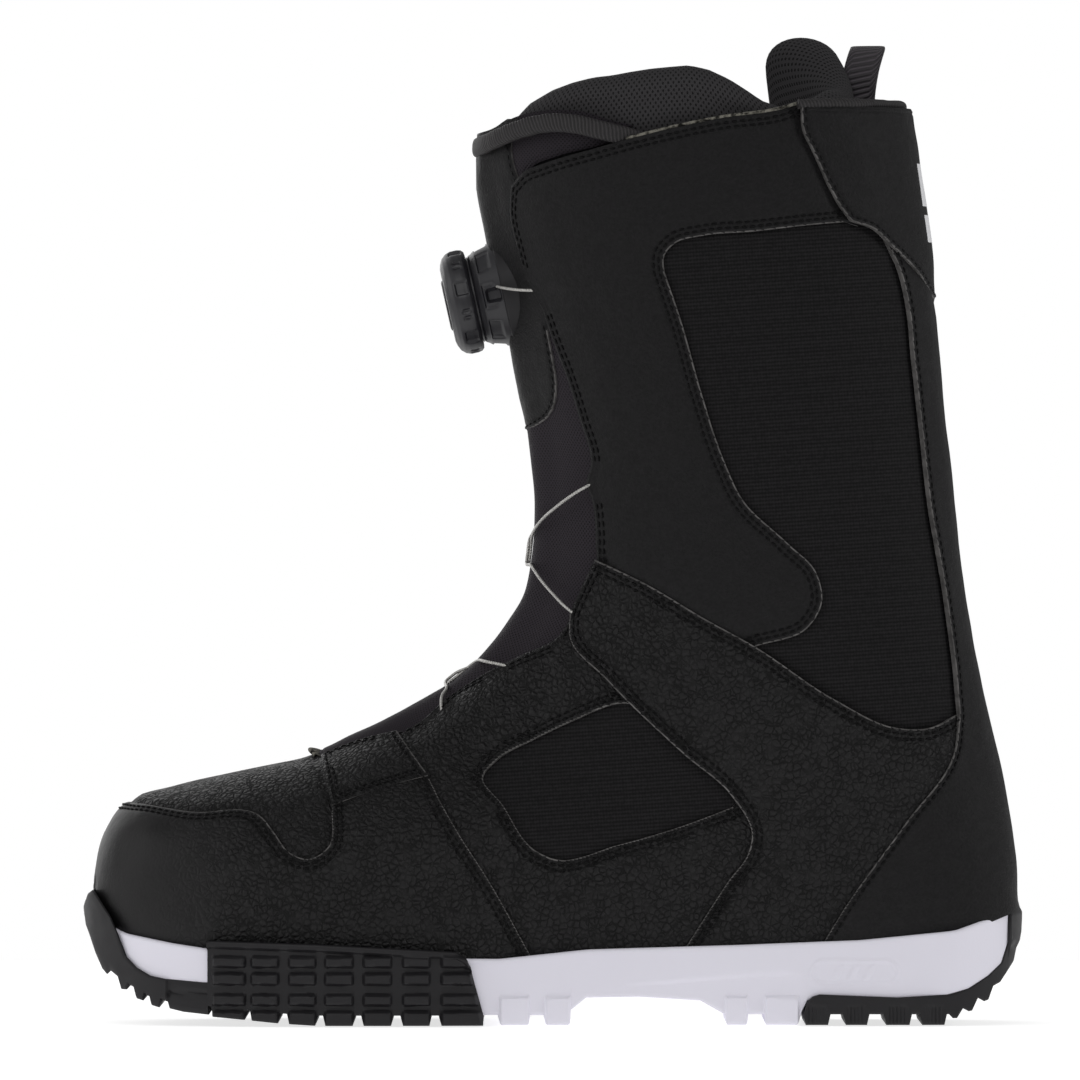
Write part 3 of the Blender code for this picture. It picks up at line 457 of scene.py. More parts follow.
def inside(points, loop):
    """True for the points inside a closed flat loop."""
    x, y = points[:, 0], points[:, 1]
    found = np.zeros(len(points), bool)
    ahead = np.roll(loop, -1, axis=0)
    for (x0, y0), (x1, y1) in zip(loop, ahead):
        if y0 == y1:
            continue
        crosses = (y0 > y) != (y1 > y)
        found ^= crosses & (x < (x1 - x0) * (y - y0) / (y1 - y0) + x0)
    return found


def gap_to(places, wanted, points):
    """Distance of points to the wanted stretches of an outline."""
    dense = even(places, 0.5, True)
    _, owner = distances(tree_of(skin_point(places)), skin_point(dense))
    return distances(tree_of(skin_point(dense[wanted[owner]])), points)[0]


EDGE_ROWS = [0.45, 1.0, 1.7, 2.5, 3.3, 4.1, 5.1, 6.5, 8.1]
STITCH_ROWS = {"double": [1.7, 3.3], "sewn": [1.7, 3.3], "folded": [1.7, 3.3], "single": [1.7],
               "bound": [1.3], "close": [1.3]}
CUT_KINDS = ("double", "single", "bound")
LEATHERS = ("smooth", "grain", "toe")


def panel(node, parts, paint, level, also=(), mirror=None, tail=None, side="lateral", thickness=CLOTH,
          puff=PUFF, stitches=True, body="shell", step=FILL_STEP, closed=False, depth=None):
    """Flat-cut piece laid over the skin: rolled edges, stitch grooves, a cut edge and rows of stitches.

    It stands for the CAD piece that it is named after, when there is one, and for those in also.
    """
    places, kinds = loop_of(parts, mirror, tail)
    if side == "medial":
        places[:, 0] = -places[:, 0]
        places, kinds = places[::-1].copy(), kinds[::-1].copy()
    places = push(places, -inward_of(places), np.where(kinds == "under", UNDERLAP, 0.0))
    inward = inward_of(places)
    count = len(places)
    coords = [Vector(place) for place in np.vstack([places, fill(places, inward, EDGE_ROWS, step)])]
    edges = [(row, (row + 1) % count) for row in range(count)]
    flat, _, faces, _, _, _ = delaunay_2d_cdt(coords, edges, [list(range(count))], 1, 1e-5)
    flat = np.array([tuple(place) for place in flat])
    faces = [tuple(face)[::-1] for face in faces]
    points, normals, _, _ = skin_frame(flat)
    rise = LEVELS[level] + relief(points) + edge_shape(places, kinds, points, puff)
    if depth is not None:
        rise = rise + depth(points)
    top = points + normals * rise[:, None]
    low = points + normals * (rise - thickness)[:, None]
    low_faces, low_points, low_slots = edge_band(faces, top, low, closed)
    nodes = [node, *also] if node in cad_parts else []
    word, edge = ("leather", "core_and_highlight") if paint in LEATHERS else ("cloth", paint)
    name = f"{node}_{word}" if nodes else node
    # Cut walls get the pale core colour; top faces along a cut edge get it too, as a painted highlight line.
    made = add_mesh(name, np.vstack([top, low_points]), faces + low_faces, [PAINTS[paint], PAINTS[edge]],
                    [*painted_highlight_edge_faces(places, kinds, points, faces), *low_slots])
    if closed:
        set_uv(made, np.vstack([flat, flat]))
    if stitches:
        sew(places, kinds, inward, LEVELS[level], body, depth)
    attach(made, body, paint, *nodes)
    return made


def edge_shape(places, kinds, points, puff):
    """Heights near an outline: rolled edges, stitch grooves and a padded middle; sunk under a neighbour."""
    rise = np.zeros(len(points))
    hidden = kinds == "under"
    visible = ~hidden & (kinds != "sole")
    if visible.any():
        gap = gap_to(places, visible, points)
        rise -= 0.5 * (1.0 - smooth(gap / 1.1))
        for distance in STITCH_ROWS["double" if (kinds == "double").any() else "single"]:
            rise -= 0.34 * np.exp(-((gap - distance) / 0.5) ** 2)
        rise += puff * smooth((gap - 4.0) / 9.0)
    if hidden.any():
        rise -= 0.75 * (1.0 - smooth((gap_to(places, hidden, points) - UNDERLAP) / 3.5))
    return rise


def painted_highlight_edge_faces(places, kinds, points, faces):
    """1 for the top faces along a cut edge, painted with the pale edge colour as a thin highlight line."""
    wanted = np.isin(kinds, CUT_KINDS)
    if not wanted.any():
        return [0] * len(faces)
    gap = gap_to(places, wanted, points)
    return [int(gap[list(face)].sum() < 1.1 and gap[list(face)].max() < 0.6) for face in faces]


def edge_band(faces, top, low, closed):
    """Faces that close a piece round its rim, and its back when asked."""
    seen = {}
    for face in faces:
        for a, b in zip(face, face[1:] + face[:1]):
            seen[(a, b)] = True
    rim = [(a, b) for a, b in seen if (b, a) not in seen]
    count = len(top)
    if closed:
        made = [(b, a, count + a, count + b) for a, b in rim]
        back = [tuple(count + corner for corner in face[::-1]) for face in faces]
        return made + back, low, [1] * len(made) + [0] * len(back)
    used = sorted({corner for pair in rim for corner in pair})
    number = {corner: count + row for row, corner in enumerate(used)}
    made = [(b, a, number[a], number[b]) for a, b in rim]
    return made, low[used], [1] * len(made)


def fastened(points):
    """Where the folded edges of the throat are sewn down: in lengths, between the cord's ways in."""
    x, z = points[:, 0], points[:, 2]
    shaft = (z < 170.0) | ((z > 184.0) & (z < 232.0)) | (z > 248.0)
    instep = (x < -58.0) | (x > 3.0)
    for first, last in ((-53.0, -44.0), (-37.0, -23.5), (-14.0, -1.5)):
        instep |= (x > first) & (x < last)
    return np.where(z > 138.0, shaft, instep)


def sew(places, kinds, inward, level, body, depth):
    """Rows of stitches along the parts of an outline that are sewn."""
    edge_tree = tree_of(skin_point(places))
    for kind in np.unique(kinds):
        for distance in STITCH_ROWS.get(kind, []):
            wanted = kinds == kind
            row = push(places, inward, distance)
            gap, _ = distances(edge_tree, skin_point(row))
            good = wanted & (gap > distance * 0.93)
            if kind == "folded":
                good &= fastened(skin_point(row))
            start = int(np.argmin(good)) if not good.all() else 0
            order = (np.arange(len(row)) + start) % len(row)
            run = []
            for index in [*order, -1]:
                if index >= 0 and good[index]:
                    if not run or np.linalg.norm(skin_point(row[[index]]) - skin_point(run[-1][None])) < 4.0:
                        run.append(row[index])
                        continue
                if len(run) > 3:
                    stitch_run(np.array(run), level - 0.12, body, depth)
                run = []


def stitch_run(line, lift, body, depth):
    """Stitches at an even pitch along a flat line."""
    middle = even(line, STITCH_PITCH)
    if len(middle) < 2:
        return
    ahead = even(line, STITCH_PITCH / 4.0)
    points, normals, _, _ = skin_frame(middle)
    dense = skin_point(ahead)
    _, near = distances(tree_of(dense), points)
    tangent = unit(dense[np.minimum(near + 1, len(dense) - 1)] - dense[np.maximum(near - 1, 0)])
    rise = lift + relief(points)
    if depth is not None:
        rise = rise + depth(points)
    STITCHES.setdefault(body, []).append((points + normals * rise[:, None], tangent, normals))


def build_stitches():
    """All stitches of a body as one mesh of small rounded threads."""
    for body, runs in STITCHES.items():
        centre = np.vstack([run[0] for run in runs])
        along = np.vstack([run[1] for run in runs])
        normal = np.vstack([run[2] for run in runs])
        across = unit(np.cross(normal, along))
        points, faces = [], []
        sides = 6
        rings = [(-0.5, 0.0, -0.3), (-0.42, 0.75, -0.1), (0.0, 1.0, 0.12), (0.42, 0.75, -0.1),
                 (0.5, 0.0, -0.3)]
        for place, fat, lift in rings:
            ring = centre + along * place * STITCH_LENGTH + normal * lift
            turns = [0.0] if fat == 0.0 else [2 * math.pi * step / sides for step in range(sides)]
            for turn in turns:
                outward = across * math.cos(turn) + normal * math.sin(turn)
                points.append(ring + outward * fat * STITCH_RADIUS)
        points = np.stack(points, axis=1).reshape(-1, 3)
        each = 2 + 3 * sides
        pattern = []
        for step in range(sides):
            after = (step + 1) % sides
            pattern.append((0, 1 + after, 1 + step))
            for ring in range(2):
                base = 1 + ring * sides
                pattern.append((base + step, base + after, base + sides + after, base + sides + step))
            pattern.append((1 + 2 * sides + step, 1 + 2 * sides + after, each - 1))
        for number in range(len(centre)):
            faces += [tuple(number * each + corner for corner in face) for face in pattern]
        made = add_mesh(f"{body}_stitches", points, faces, [PAINTS["thread"]], sharp=80.0)
        attach(made, body, "thread")


# ---------------------------------------------------------------- finishes
class Finish:
    """A material whose surface height is added up from layers, in millimetres."""

    def __init__(self, name, colour, roughness, layers=(), metallic=0.0, specular=0.5):
        """Layers are fine grain, as (size, detail, height)."""
        self.material = bpy.data.materials.new(name)
        self.material.use_nodes = True
        self.tree = self.material.node_tree
        self.shader = self.tree.nodes["Principled BSDF"]
        self.shader.inputs["Base Color"].default_value = (*colour, 1.0)
        self.shader.inputs["Roughness"].default_value = roughness
        self.shader.inputs["Metallic"].default_value = metallic
        self.shader.inputs["Specular IOR Level"].default_value = specular
        self.colour = colour
        self.height = None
        self.places = {}
        for size, detail, height in layers:
            self.raise_by(self.grain(size, detail), height)

    def node(self, kind, **values):
        made = self.tree.nodes.new(kind)
        for key, value in values.items():
            setattr(made, key, value)
        return made

    def link(self, source, target):
        self.tree.links.new(source, target)

    def place(self, kind="Object"):
        """Texture place in millimetres: of the object, or of its flat pattern."""
        if kind not in self.places:
            source = self.node("ShaderNodeTexCoord")
            self.places[kind] = self.scaled(source.outputs[kind], 1.0 / MM if kind == "Object" else 1.0)
        return self.places[kind]

    def math(self, operation, first, second=None, third=None):
        made = self.node("ShaderNodeMath", operation=operation)
        for slot, value in enumerate((first, second, third)):
            if value is None:
                continue
            if isinstance(value, (int, float)):
                made.inputs[slot].default_value = value
            else:
                self.link(value, made.inputs[slot])
        return made.outputs[0]

    def ramp(self, value, low, high, out_low=0.0, out_high=1.0):
        made = self.node("ShaderNodeMapRange", interpolation_type="SMOOTHSTEP")
        for slot, number in enumerate((low, high, out_low, out_high)):
            made.inputs[slot + 1].default_value = number
        self.link(value, made.inputs[0])
        return made.outputs[0]

    def scaled(self, vector, amount):
        made = self.node("ShaderNodeVectorMath", operation="SCALE")
        made.inputs["Scale"].default_value = amount
        self.link(vector, made.inputs[0])
        return made.outputs[0]

    def texture(self, kind, size, place, **values):
        made = self.node(kind, **values)
        made.inputs["Scale"].default_value = 1.0 / size
        self.link(place, made.inputs["Vector"])
        return made

    def noise(self, size, detail, kind="Object"):
        made = self.texture("ShaderNodeTexNoise", size, self.place(kind))
        made.inputs["Detail"].default_value = detail
        return made

    def grain(self, size, detail=4.0, kind="Object"):
        return self.noise(size, detail, kind).outputs["Fac"]

    def edges(self, size, spread, amount):
        """Distance to the edge of rounded cells, pushed about by noise so that they aren't regular."""
        total = self.node("ShaderNodeVectorMath", operation="ADD")
        self.link(self.place(), total.inputs[0])
        self.link(self.scaled(self.noise(spread, 2.0).outputs["Color"], amount), total.inputs[1])
        made = self.texture("ShaderNodeTexVoronoi", size, total.outputs[0], feature="DISTANCE_TO_EDGE")
        return made.outputs["Distance"]

    def cells(self, size, warp):
        """Rounded cells split by creases: 0 in the creases, 1 on top."""
        return self.ramp(self.edges(size, size * 1.5, warp), 0.0, 0.2)

    def pebbles(self, size):
        """Tumbled grain: domes, split by creases that come and go."""
        distance = self.edges(size, size * 0.9, size * 0.8)
        crease = self.ramp(distance, 0.0, 0.21, 1.0, 0.0)
        crease = self.math("MULTIPLY", crease, self.ramp(self.grain(size * 2.2, 3.0), 0.34, 0.6, 0.5, 1.0))
        return self.ramp(distance, 0.0, 0.45), self.math("SUBTRACT", 1.0, crease)

    def waves(self, direction, pitch, kind="Object"):
        """Sine waves across a direction, from -1 to 1."""
        dot = self.node("ShaderNodeVectorMath", operation="DOT_PRODUCT")
        dot.inputs[1].default_value = direction
        self.link(self.place(kind), dot.inputs[0])
        return self.math("SINE", self.math("MULTIPLY", dot.outputs["Value"], 2.0 * math.pi / pitch))

    def raise_by(self, value, amount):
        """Adds a layer to the surface height."""
        layer = self.math("MULTIPLY", value, amount)
        self.height = layer if self.height is None else self.math("ADD", self.height, layer)

    def tint(self, value, low, high, span=(0.0, 1.0)):
        """Colour multiplied by a value between two shares."""
        share = self.ramp(value, *span, low, high)
        made = self.node("ShaderNodeVectorMath", operation="SCALE")
        made.inputs[0].default_value = self.colour
        self.link(share, made.inputs["Scale"])
        self.link(made.outputs[0], self.shader.inputs["Base Color"])

    def rough(self, value, low, high):
        self.link(self.ramp(value, 0.0, 1.0, low, high), self.shader.inputs["Roughness"])

    def done(self):
        bump = self.node("ShaderNodeBump")
        bump.inputs["Strength"].default_value = 1.0
        bump.inputs["Distance"].default_value = MM
        self.link(self.height, bump.inputs["Height"])
        self.link(bump.outputs["Normal"], self.shader.inputs["Normal"])
        return self.material


def paint_smooth_leather():
    finish = Finish("smooth_leather", (0.0044, 0.004, 0.0045), 0.58, specular=0.21)
    fine = finish.grain(1.0, 5.0)
    finish.raise_by(finish.cells(1.1, 0.6), 0.05)
    finish.raise_by(fine, 0.3)
    finish.raise_by(finish.grain(9.0, 2.0), 0.45)
    finish.tint(fine, 0.55, 1.35, (0.32, 0.68))
    finish.rough(finish.grain(3.0), 0.5, 0.68)
    return finish.done()


def grained(name, fade=None):
    """Tumbled leather, with painted shade in the grain's creases and lighter pebble tops. fade is a pair of x
    places between which the grain comes in.
    """
    finish = Finish(name, (0.0042, 0.0038, 0.0042), 0.5, specular=0.25)
    dome, crease = finish.pebbles(2.1)
    fine = finish.grain(0.8, 4.0)
    if fade is not None:
        split = finish.node("ShaderNodeSeparateXYZ")
        finish.link(finish.place(), split.inputs[0])
        back = finish.ramp(split.outputs["X"], *fade)
        smoother = finish.math("SUBTRACT", 1.0, back)
        dome = finish.math("MULTIPLY", dome, back)
        crease = finish.math("ADD", finish.math("MULTIPLY", crease, back), smoother)
    finish.raise_by(dome, 0.34)
    finish.raise_by(crease, 0.2)
    finish.raise_by(fine, 0.1)
    finish.raise_by(finish.grain(8.0, 3.0), 0.35)
    # Painted shade: colour darkened in the creases and lightened on the pebble tops, mixed with random tone
    # from the fine grain.
    crease_shade_and_tone = finish.math("MULTIPLY", crease, finish.ramp(fine, 0.32, 0.68, 0.6, 1.0))
    finish.tint(crease_shade_and_tone, 0.18, 1.3)
    finish.rough(crease, 0.78, 0.5)
    return finish.done()


def rough_edge(name, colour, roughness, grain, patches, *tint, specular):
    """Bare fibres along a cut: fine grain and uneven patches of colour."""
    finish = Finish(name, colour, roughness, [grain], specular=specular)
    finish.tint(finish.grain(patches), *tint)
    return finish.done()


def paint_ripstop():
    finish = Finish("ripstop", (0.0085, 0.008, 0.0086), 0.78, specular=0.14)
    tilt = math.radians(4.0)
    along = finish.waves((math.cos(tilt), 0.0, math.sin(tilt)), 1.0)
    ribs = finish.waves((-math.sin(tilt), 0.0, math.cos(tilt)), 1.25)
    wide = finish.waves((-math.sin(tilt), 0.0, math.cos(tilt)), 5.0)
    finish.raise_by(ribs, 0.05)
    finish.raise_by(along, 0.03)
    finish.raise_by(finish.grain(16.0, 2.0), 0.5)
    # Painted shade on the weave: darker in the rib grooves and lighter on the tops, with broad bands and
    # random tone.
    rib_shade_and_tone = finish.math("MULTIPLY_ADD", ribs, 0.34, finish.math("MULTIPLY_ADD", along, 0.16, 0.5))
    rib_shade_and_tone = finish.math("MULTIPLY_ADD", wide, 0.06, rib_shade_and_tone)
    rib_shade_and_tone = finish.math("MULTIPLY", rib_shade_and_tone, finish.ramp(finish.grain(1.1), 0.3, 0.7, 0.6, 1.3))
    finish.tint(rib_shade_and_tone, 0.35, 1.45)
    return finish.done()


def knit(name, colour, pitch, hole, ratio=0.8):
    """Knitted mesh with staggered holes, sunk and darkened with painted shade."""
    finish = Finish(name, colour, 0.82, specular=0.25)
    first = finish.math("ADD", finish.waves((1.0, ratio, 0.0), pitch, "UV"), 1.0)
    second = finish.math("ADD", finish.waves((-1.0, ratio, 0.0), pitch, "UV"), 1.0)
    open_part = finish.ramp(finish.math("MULTIPLY", first, second), hole, hole + 1.3)
    finish.raise_by(open_part, -0.3)
    finish.raise_by(finish.grain(0.4), 0.05)
    # Painted shade: colour darkened in the sunk holes and lightened on the yarn.
    finish.tint(open_part, 1.5, 0.2)
    return finish.done()


def ribbed(name, colour, roughness, specular, grain, slant, pitch, height, *tint):
    """Woven band with slanting ribs; colour darker in the grooves and lighter on the rib tops as painted
    shade.
    """
    finish = Finish(name, colour, roughness, [(grain, 4.0, 0.05)], specular=specular)
    ribs = finish.waves((1.0, slant, 0.0), pitch, "UV")
    finish.raise_by(ribs, height)
    # Painted shade: colour follows the rib height, darker in the grooves and lighter on the tops.
    finish.tint(finish.math("MULTIPLY_ADD", ribs, 0.5, 0.5), *tint)
    return finish.done()


def paint_foam():
    layers = [(0.7, 4.0, 0.03), (12.0, 2.0, 0.12)]
    finish = Finish("white_foam", (0.73, 0.715, 0.79), 0.5, layers, specular=0.3)
    finish.shader.inputs["Subsurface Weight"].default_value = 0.08
    finish.shader.inputs["Subsurface Radius"].default_value = (0.002, 0.002, 0.002)
    return finish.done()


def moulded(name, colour, roughness, specular, grain, patches, *rough):
    """Moulded rubber or plastic: fine grain and a roughness that comes and goes."""
    finish = Finish(name, colour, roughness, [grain], specular=specular)
    finish.rough(finish.grain(patches), *rough)
    return finish.done()


def paint_cord():
    finish = Finish("lace_steel", (0.46, 0.45, 0.43), 0.4, metallic=0.55)
    finish.raise_by(finish.waves((1.0, 0.6, 0.0), 0.9, "UV"), 0.05)
    finish.tint(finish.grain(0.8, kind="UV"), 0.6, 1.3)
    return finish.done()


PAINTS = {
    "smooth": paint_smooth_leather(),
    "grain": grained("grained_leather"),
    "toe": grained("toe_leather", (-136.0, -92.0)),
    # Pale core of a cut edge on the cut walls; the same colour is painted on the top faces along the edge as
    # a highlight line.
    "core_and_highlight": rough_edge("cut_core_and_highlight", (0.1, 0.096, 0.094), 0.8, (0.5, 4.0, 0.15), 3.4, 0.55, 1.2, (0.3, 0.7),
                      specular=0.2),
    "lining_edge": rough_edge("lining_edge", (0.11, 0.105, 0.09), 0.9, (0.6, 4.0, 0.3), 1.6, 0.05, 1.9,
                              (0.35, 0.65), specular=0.1),
    "ripstop": paint_ripstop(),
    "tongue_mesh": knit("tongue_mesh", (0.0125, 0.0098, 0.013), 1.35, 1.5),
    "spacer_mesh": knit("spacer_mesh", (0.021, 0.02, 0.0212), 1.75, 1.5, ratio=0.7),
    "lining": knit("lining_cloth", (0.012, 0.0115, 0.0125), 1.6, 2.2),
    "webbing": ribbed("webbing", (0.024, 0.022, 0.023), 0.65, 0.3, 0.35, 0.35, 1.25, 0.13, 0.5, 1.35),
    "loop": ribbed("loop_webbing", (0.042, 0.036, 0.042), 0.55, 0.4, 0.4, 0.75, 1.9, 0.22, 0.45, 1.3),
    # Black thread, made darker than the leather as painted shade of the stitch grooves.
    "thread": Finish("thread", (0.0016, 0.0015, 0.0017), 0.5, [(0.3, 4.0, 0.03)], specular=0.12).done(),
    "foam": paint_foam(),
    "rubber": moulded("black_rubber", (0.0085, 0.0078, 0.0092), 0.5, 0.32, (0.6, 4.0, 0.04), 5.0, 0.42, 0.6),
    "plastic": moulded("dark_plastic", (0.013, 0.0125, 0.0155), 0.4, 0.5, (0.4, 4.0, 0.012), 3.0, 0.35, 0.5),
    "cord": paint_cord(),
    "print": Finish("white_print", (0.78, 0.78, 0.8), 0.5, [(0.6, 4.0, 0.02)]).done(),
    "steel": Finish("steel", (0.5, 0.5, 0.5), 0.32, [(0.5, 4.0, 0.01)], metallic=1.0).done(),
}


def attach(made, body, paint, *nodes):
    """Puts a piece on its body and hides the CAD pieces that it stands for."""
    if body:
        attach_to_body(made, body)
    if nodes:
        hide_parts(*nodes)
    return made


def set_uv(made, flat):
    """Flat pattern places in millimetres, one for each point."""
    layer = made.data.uv_layers.new(name="pattern")
    corners = np.zeros(len(made.data.loops), np.int32)
    made.data.loops.foreach_get("vertex_index", corners)
    layer.data.foreach_set("uv", np.asarray(flat, np.float32)[corners].ravel())


# ---------------------------------------------------------------- the upper
LEVELS = {"heel": 0.1, "collar": 0.75, "quarter_rear": -0.45, "cuff": -1.1, "window": -1.95,
          "quarter_front": -1.1, "toe_cap": -0.25, "wing": -0.1, "vamp": -1.0, "shield": -0.1, "tongue": -0.4,
          "gusset": -5.6, "mark": 1.17}


def low_edge(first, last):
    """Bottom edge of the upper, hidden behind the sole, from one x to another."""
    xs = np.linspace(first, last, max(3, int(abs(last - first) / 12)))
    return [(x, float(feather(x)) - 4.0) for x in xs]


def build_upper():
    for side, _ in SIDES:
        build_side(side)
    cap = [(TOE_CAP_TOP, "double"), (WING_LOW, "under"),
           ([(-40.5, 82)] + QUARTER_FRONT[2:-1] + [(-6, 21)], "double"), (low_edge(-6, -158), "sole")]
    panel("toe_cap", cap, "toe", "toe_cap", mirror="front",
          tail=[(SPAN, DEPTHS[-1] - 0.6), (0.0, DEPTHS[-1] - 0.6)])
    vamp = [(TOE_CAP_TOP, "under"), ([(-72, 72.5), (-74, 80), (-76, 88.5)], "under"),
            ([(-76, 88.5), (-79, 91), (-84, 96)], "edge")]
    panel("vamp", vamp, "grain", "vamp", mirror="front")
    heel = [([(140, 240), (120, 246), (111.5, 254.5)], "under"), (BACKSTAY_LINE, "single"),
            (COUNTER_LINE[:-1] + [(86, 22)], "single"),
            (low_edge(86, 124) + [(136, 30.4), (143, 33.2), (150, 36.0), (165, 42.6)], "sole")]
    panel("heel_counter", heel, "smooth", "heel", ["backstay"], mirror="back")
    collar = [([(140, 300), (110, 300), (81.5, 300)], "edge"), (COLLAR_FRONT, "bound"), (COLLAR_LOW, "bound")]
    panel("collar_back", collar, "smooth", "collar", mirror="back", closed=True)


def build_side(side):
    """Pieces that both sides of the upper have."""
    cuff = [(CUFF_FRONT, "folded"), (CUFF_TOP, "folded"), (COLLAR_FRONT, "under"), (WINDOW_TOP, "double"),
            (WINDOW_FRONT, "double"), (QUARTER_TOP[4::-1], "under")]
    panel(f"cuff_{side}", cuff, "smooth", "cuff", side=side, closed=True)
    window = [(WINDOW_TOP, "under"), (WINDOW_FRONT, "under"), (QUARTER_TOP[4:], "under"),
              (BACKSTAY_LINE[::-1], "under"), ([(111.5, 254.5), (105.5, 260), (98, 262.5)], "under")]
    panel(f"cuff_window_{side}", window, "ripstop", "window", side=side)
    rear = [(QUARTER_TOP, "double"), (COUNTER_LINE[:-1] + [(86, 22)], "under"),
            (low_edge(86, 41), "sole"), ([(41, 20.5)] + OVERLAY_FRONT[-2::-1], "double"),
            ([(5.5, 134.5), (9, 142.5), (13.5, 152)], "folded")]
    panel(f"quarter_rear_{side}", rear, "grain", "quarter_rear", side=side, closed=True)
    front = [(QUARTER_FRONT[:-1] + [(-6, 21)], "under"), (low_edge(-6, 41), "sole"),
             ([(41, 20.5), (57.5, 46.5), (64.5, 56.5), (65.5, 62), (60.5, 71.5)], "under"),
             (LOW_WINDOW[::-1], "double"), ([(43, 88.5), (18, 112.5), (5.5, 127), (5.5, 134.5)], "under"),
             (LOW_EYESTAY[:7], "folded")]
    panel(f"quarter_front_{side}", front, "grain", "quarter_front", side=side, closed=True)
    window = [(LOW_WINDOW, "under"), ([(60.5, 71.5), (59, 74.5), (43, 88.5)], "under")]
    panel(f"side_window_{side}", window, "ripstop", "window", side=side)
    wing = [(WING_LOW, "sewn"), ([(-40.5, 82), (-45, 88), (-51, 96.5)], "double"),
            (LOW_EYESTAY[6:], "folded"), ([(-76, 88.5), (-74, 80), (-72, 72.5)], "sewn")]
    panel(f"vamp_wing_{side}", wing, "grain", "wing", side=side, closed=True)


def build_mark():
    """Plain two-bar print across the back of the collar."""
    for number, (high, low, edge) in enumerate(((281.8, 267.8, 118.9), (264.9, 256.0, 121.3))):
        foot = edge + 0.14 * (high - low)
        bar = [([(140, high), (edge, high)], "sole"), ([(edge, high), (foot, low)], "sole"),
               ([(foot, low), (140, low)], "sole")]
        panel(f"collar_mark_{number + 1}", bar, "print", "mark", mirror="back", thickness=0.35, puff=0.0,
              stitches=False)


def tucked(amount):
    """Tongue pieces sink under the cuff edges as they go round from the front line."""
    def depth(points):
        aside = np.abs(points[:, 1] - swing(points[:, 0]))
        return -amount * smooth((aside - 8.0) / 14.0)
    return depth


def build_tongue():
    shield = [(TONGUE_TOP[:3] + [(-16.5, 293)], "under"), (SHIELD_SEAM, "close"),
              ([(-13.5, 276), (-9.5, 267), (-6.5, 254.5), (-3.5, 241), (-1.5, 232)], "edge"),
              (SHIELD_LOW[1:], "bound")]
    panel("tongue_shield", shield, "smooth", "shield", mirror="front",
          body="tongue", closed=True, depth=tucked(2.9))
    under_cuff = [(x + 3.0, z) for x, z in CUFF_FRONT[::-1][1:]]
    under_instep = [(16.5, 152), (12.5, 144), (9.5, 134.5), (6, 128), (-9, 119), (-21.5, 112), (-35, 103.5),
                    (-44, 96.5), (-55, 91.5), (-70, 86.5)]
    cloth = [(TONGUE_TOP, "under"),
             ([(26, 290.5), (14, 287), (-1, 283.5), (-9.5, 280), (-12.5, 274)], "edge"),
             (under_cuff, "edge"), (under_instep, "edge"), ([(-70, 86.5), (-78, 90), (-84, 96)], "edge")]
    made = panel("tongue_mesh", cloth, "tongue_mesh", "tongue", ["tongue_base"], mirror="front", body=None,
                 closed=True, depth=tucked(3.7), stitches=False, puff=0.0, thickness=0.9)
    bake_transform(made)


def build_gusset():
    """Soft web between the cuff edge and the tongue."""
    line = CUFF_FRONT[1:-1]
    back = [(x + 7.0, z) for x, z in line]
    front = [(x - 6.0, z) for x, z in line[::-1]]
    parts = [(back, "edge"), ([back[-1], front[0]], "edge"), (front, "edge"), ([front[-1], back[0]], "edge")]
    for side, _ in SIDES:
        made = panel(f"tongue_gusset_{side}", parts, "tongue_mesh", "gusset", side=side, body=None,
                     stitches=False, closed=True, thickness=0.8, step=3.0)
        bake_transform(made)


# ---------------------------------------------------------------- swept and turned pieces
def sweep(name, path, up, across, thick, paint, body=None, sides=12, power=2.0, ripple=(0.0, 1.0)):
    """Cord, binding or strap: an oval section carried along a path. up is its thin direction.

    ripple is how far the section swells along the path, and at what pitch.
    """
    path = np.asarray(path, float)
    ahead = unit(np.gradient(path, axis=0))
    wide = unit(np.cross(ahead, np.asarray(up, float)))
    up = unit(np.cross(wide, ahead))
    length = lengths(path)
    swell = 1.0 + ripple[0] * np.sin(length * 2.0 * math.pi / ripple[1])
    points, flat = [], []
    for step in range(sides):
        turn = 2.0 * math.pi * step / sides
        c, s = [math.copysign(abs(part) ** (2.0 / power), part) for part in (math.cos(turn), math.sin(turn))]
        points.append(path + wide * (c * across * swell)[:, None] + up * (s * thick * swell)[:, None])
        flat.append(np.stack([length, np.full(len(path), turn * across)], axis=1))
    faces = tube_faces(len(path), sides, caps=True)
    made = add_mesh(name, np.stack(points, axis=1).reshape(-1, 3), faces, [PAINTS[paint]], sharp=60.0)
    set_uv(made, np.stack(flat, axis=1).reshape(-1, 2))
    if body:
        attach(made, body, paint)
    return made


def dial_axes():
    outward = np.array([-math.cos(DIAL_TILT), 0.0, -math.sin(DIAL_TILT)])
    side = np.array([0.0, -1.0, 0.0])
    return np.array(DIAL_SEAT), outward, side, np.cross(outward, side)


def turned(name, profile, paint, body, steps=120, bump=None, nodes=()):
    """Ring turned about the dial's axis from (radius, height) points; a bump shifts points outwards."""
    centre, outward, side, up = dial_axes()
    angles = np.linspace(0.0, 2.0 * math.pi, steps, endpoint=False)
    around = np.outer(np.cos(angles), side) + np.outer(np.sin(angles), up)
    points = []
    for radius, height in profile:
        out = np.full(steps, float(radius))
        if bump is not None and radius > 0.5:
            out = out + bump(angles, radius, height)
        points.append(centre + outward * height + around * out[:, None])
    faces = tube_faces(len(profile), steps, wrap=True)
    made = add_mesh(name, *welded(np.vstack(points), faces), [PAINTS[paint]], sharp=35.0)
    attach(made, body, paint, *nodes)


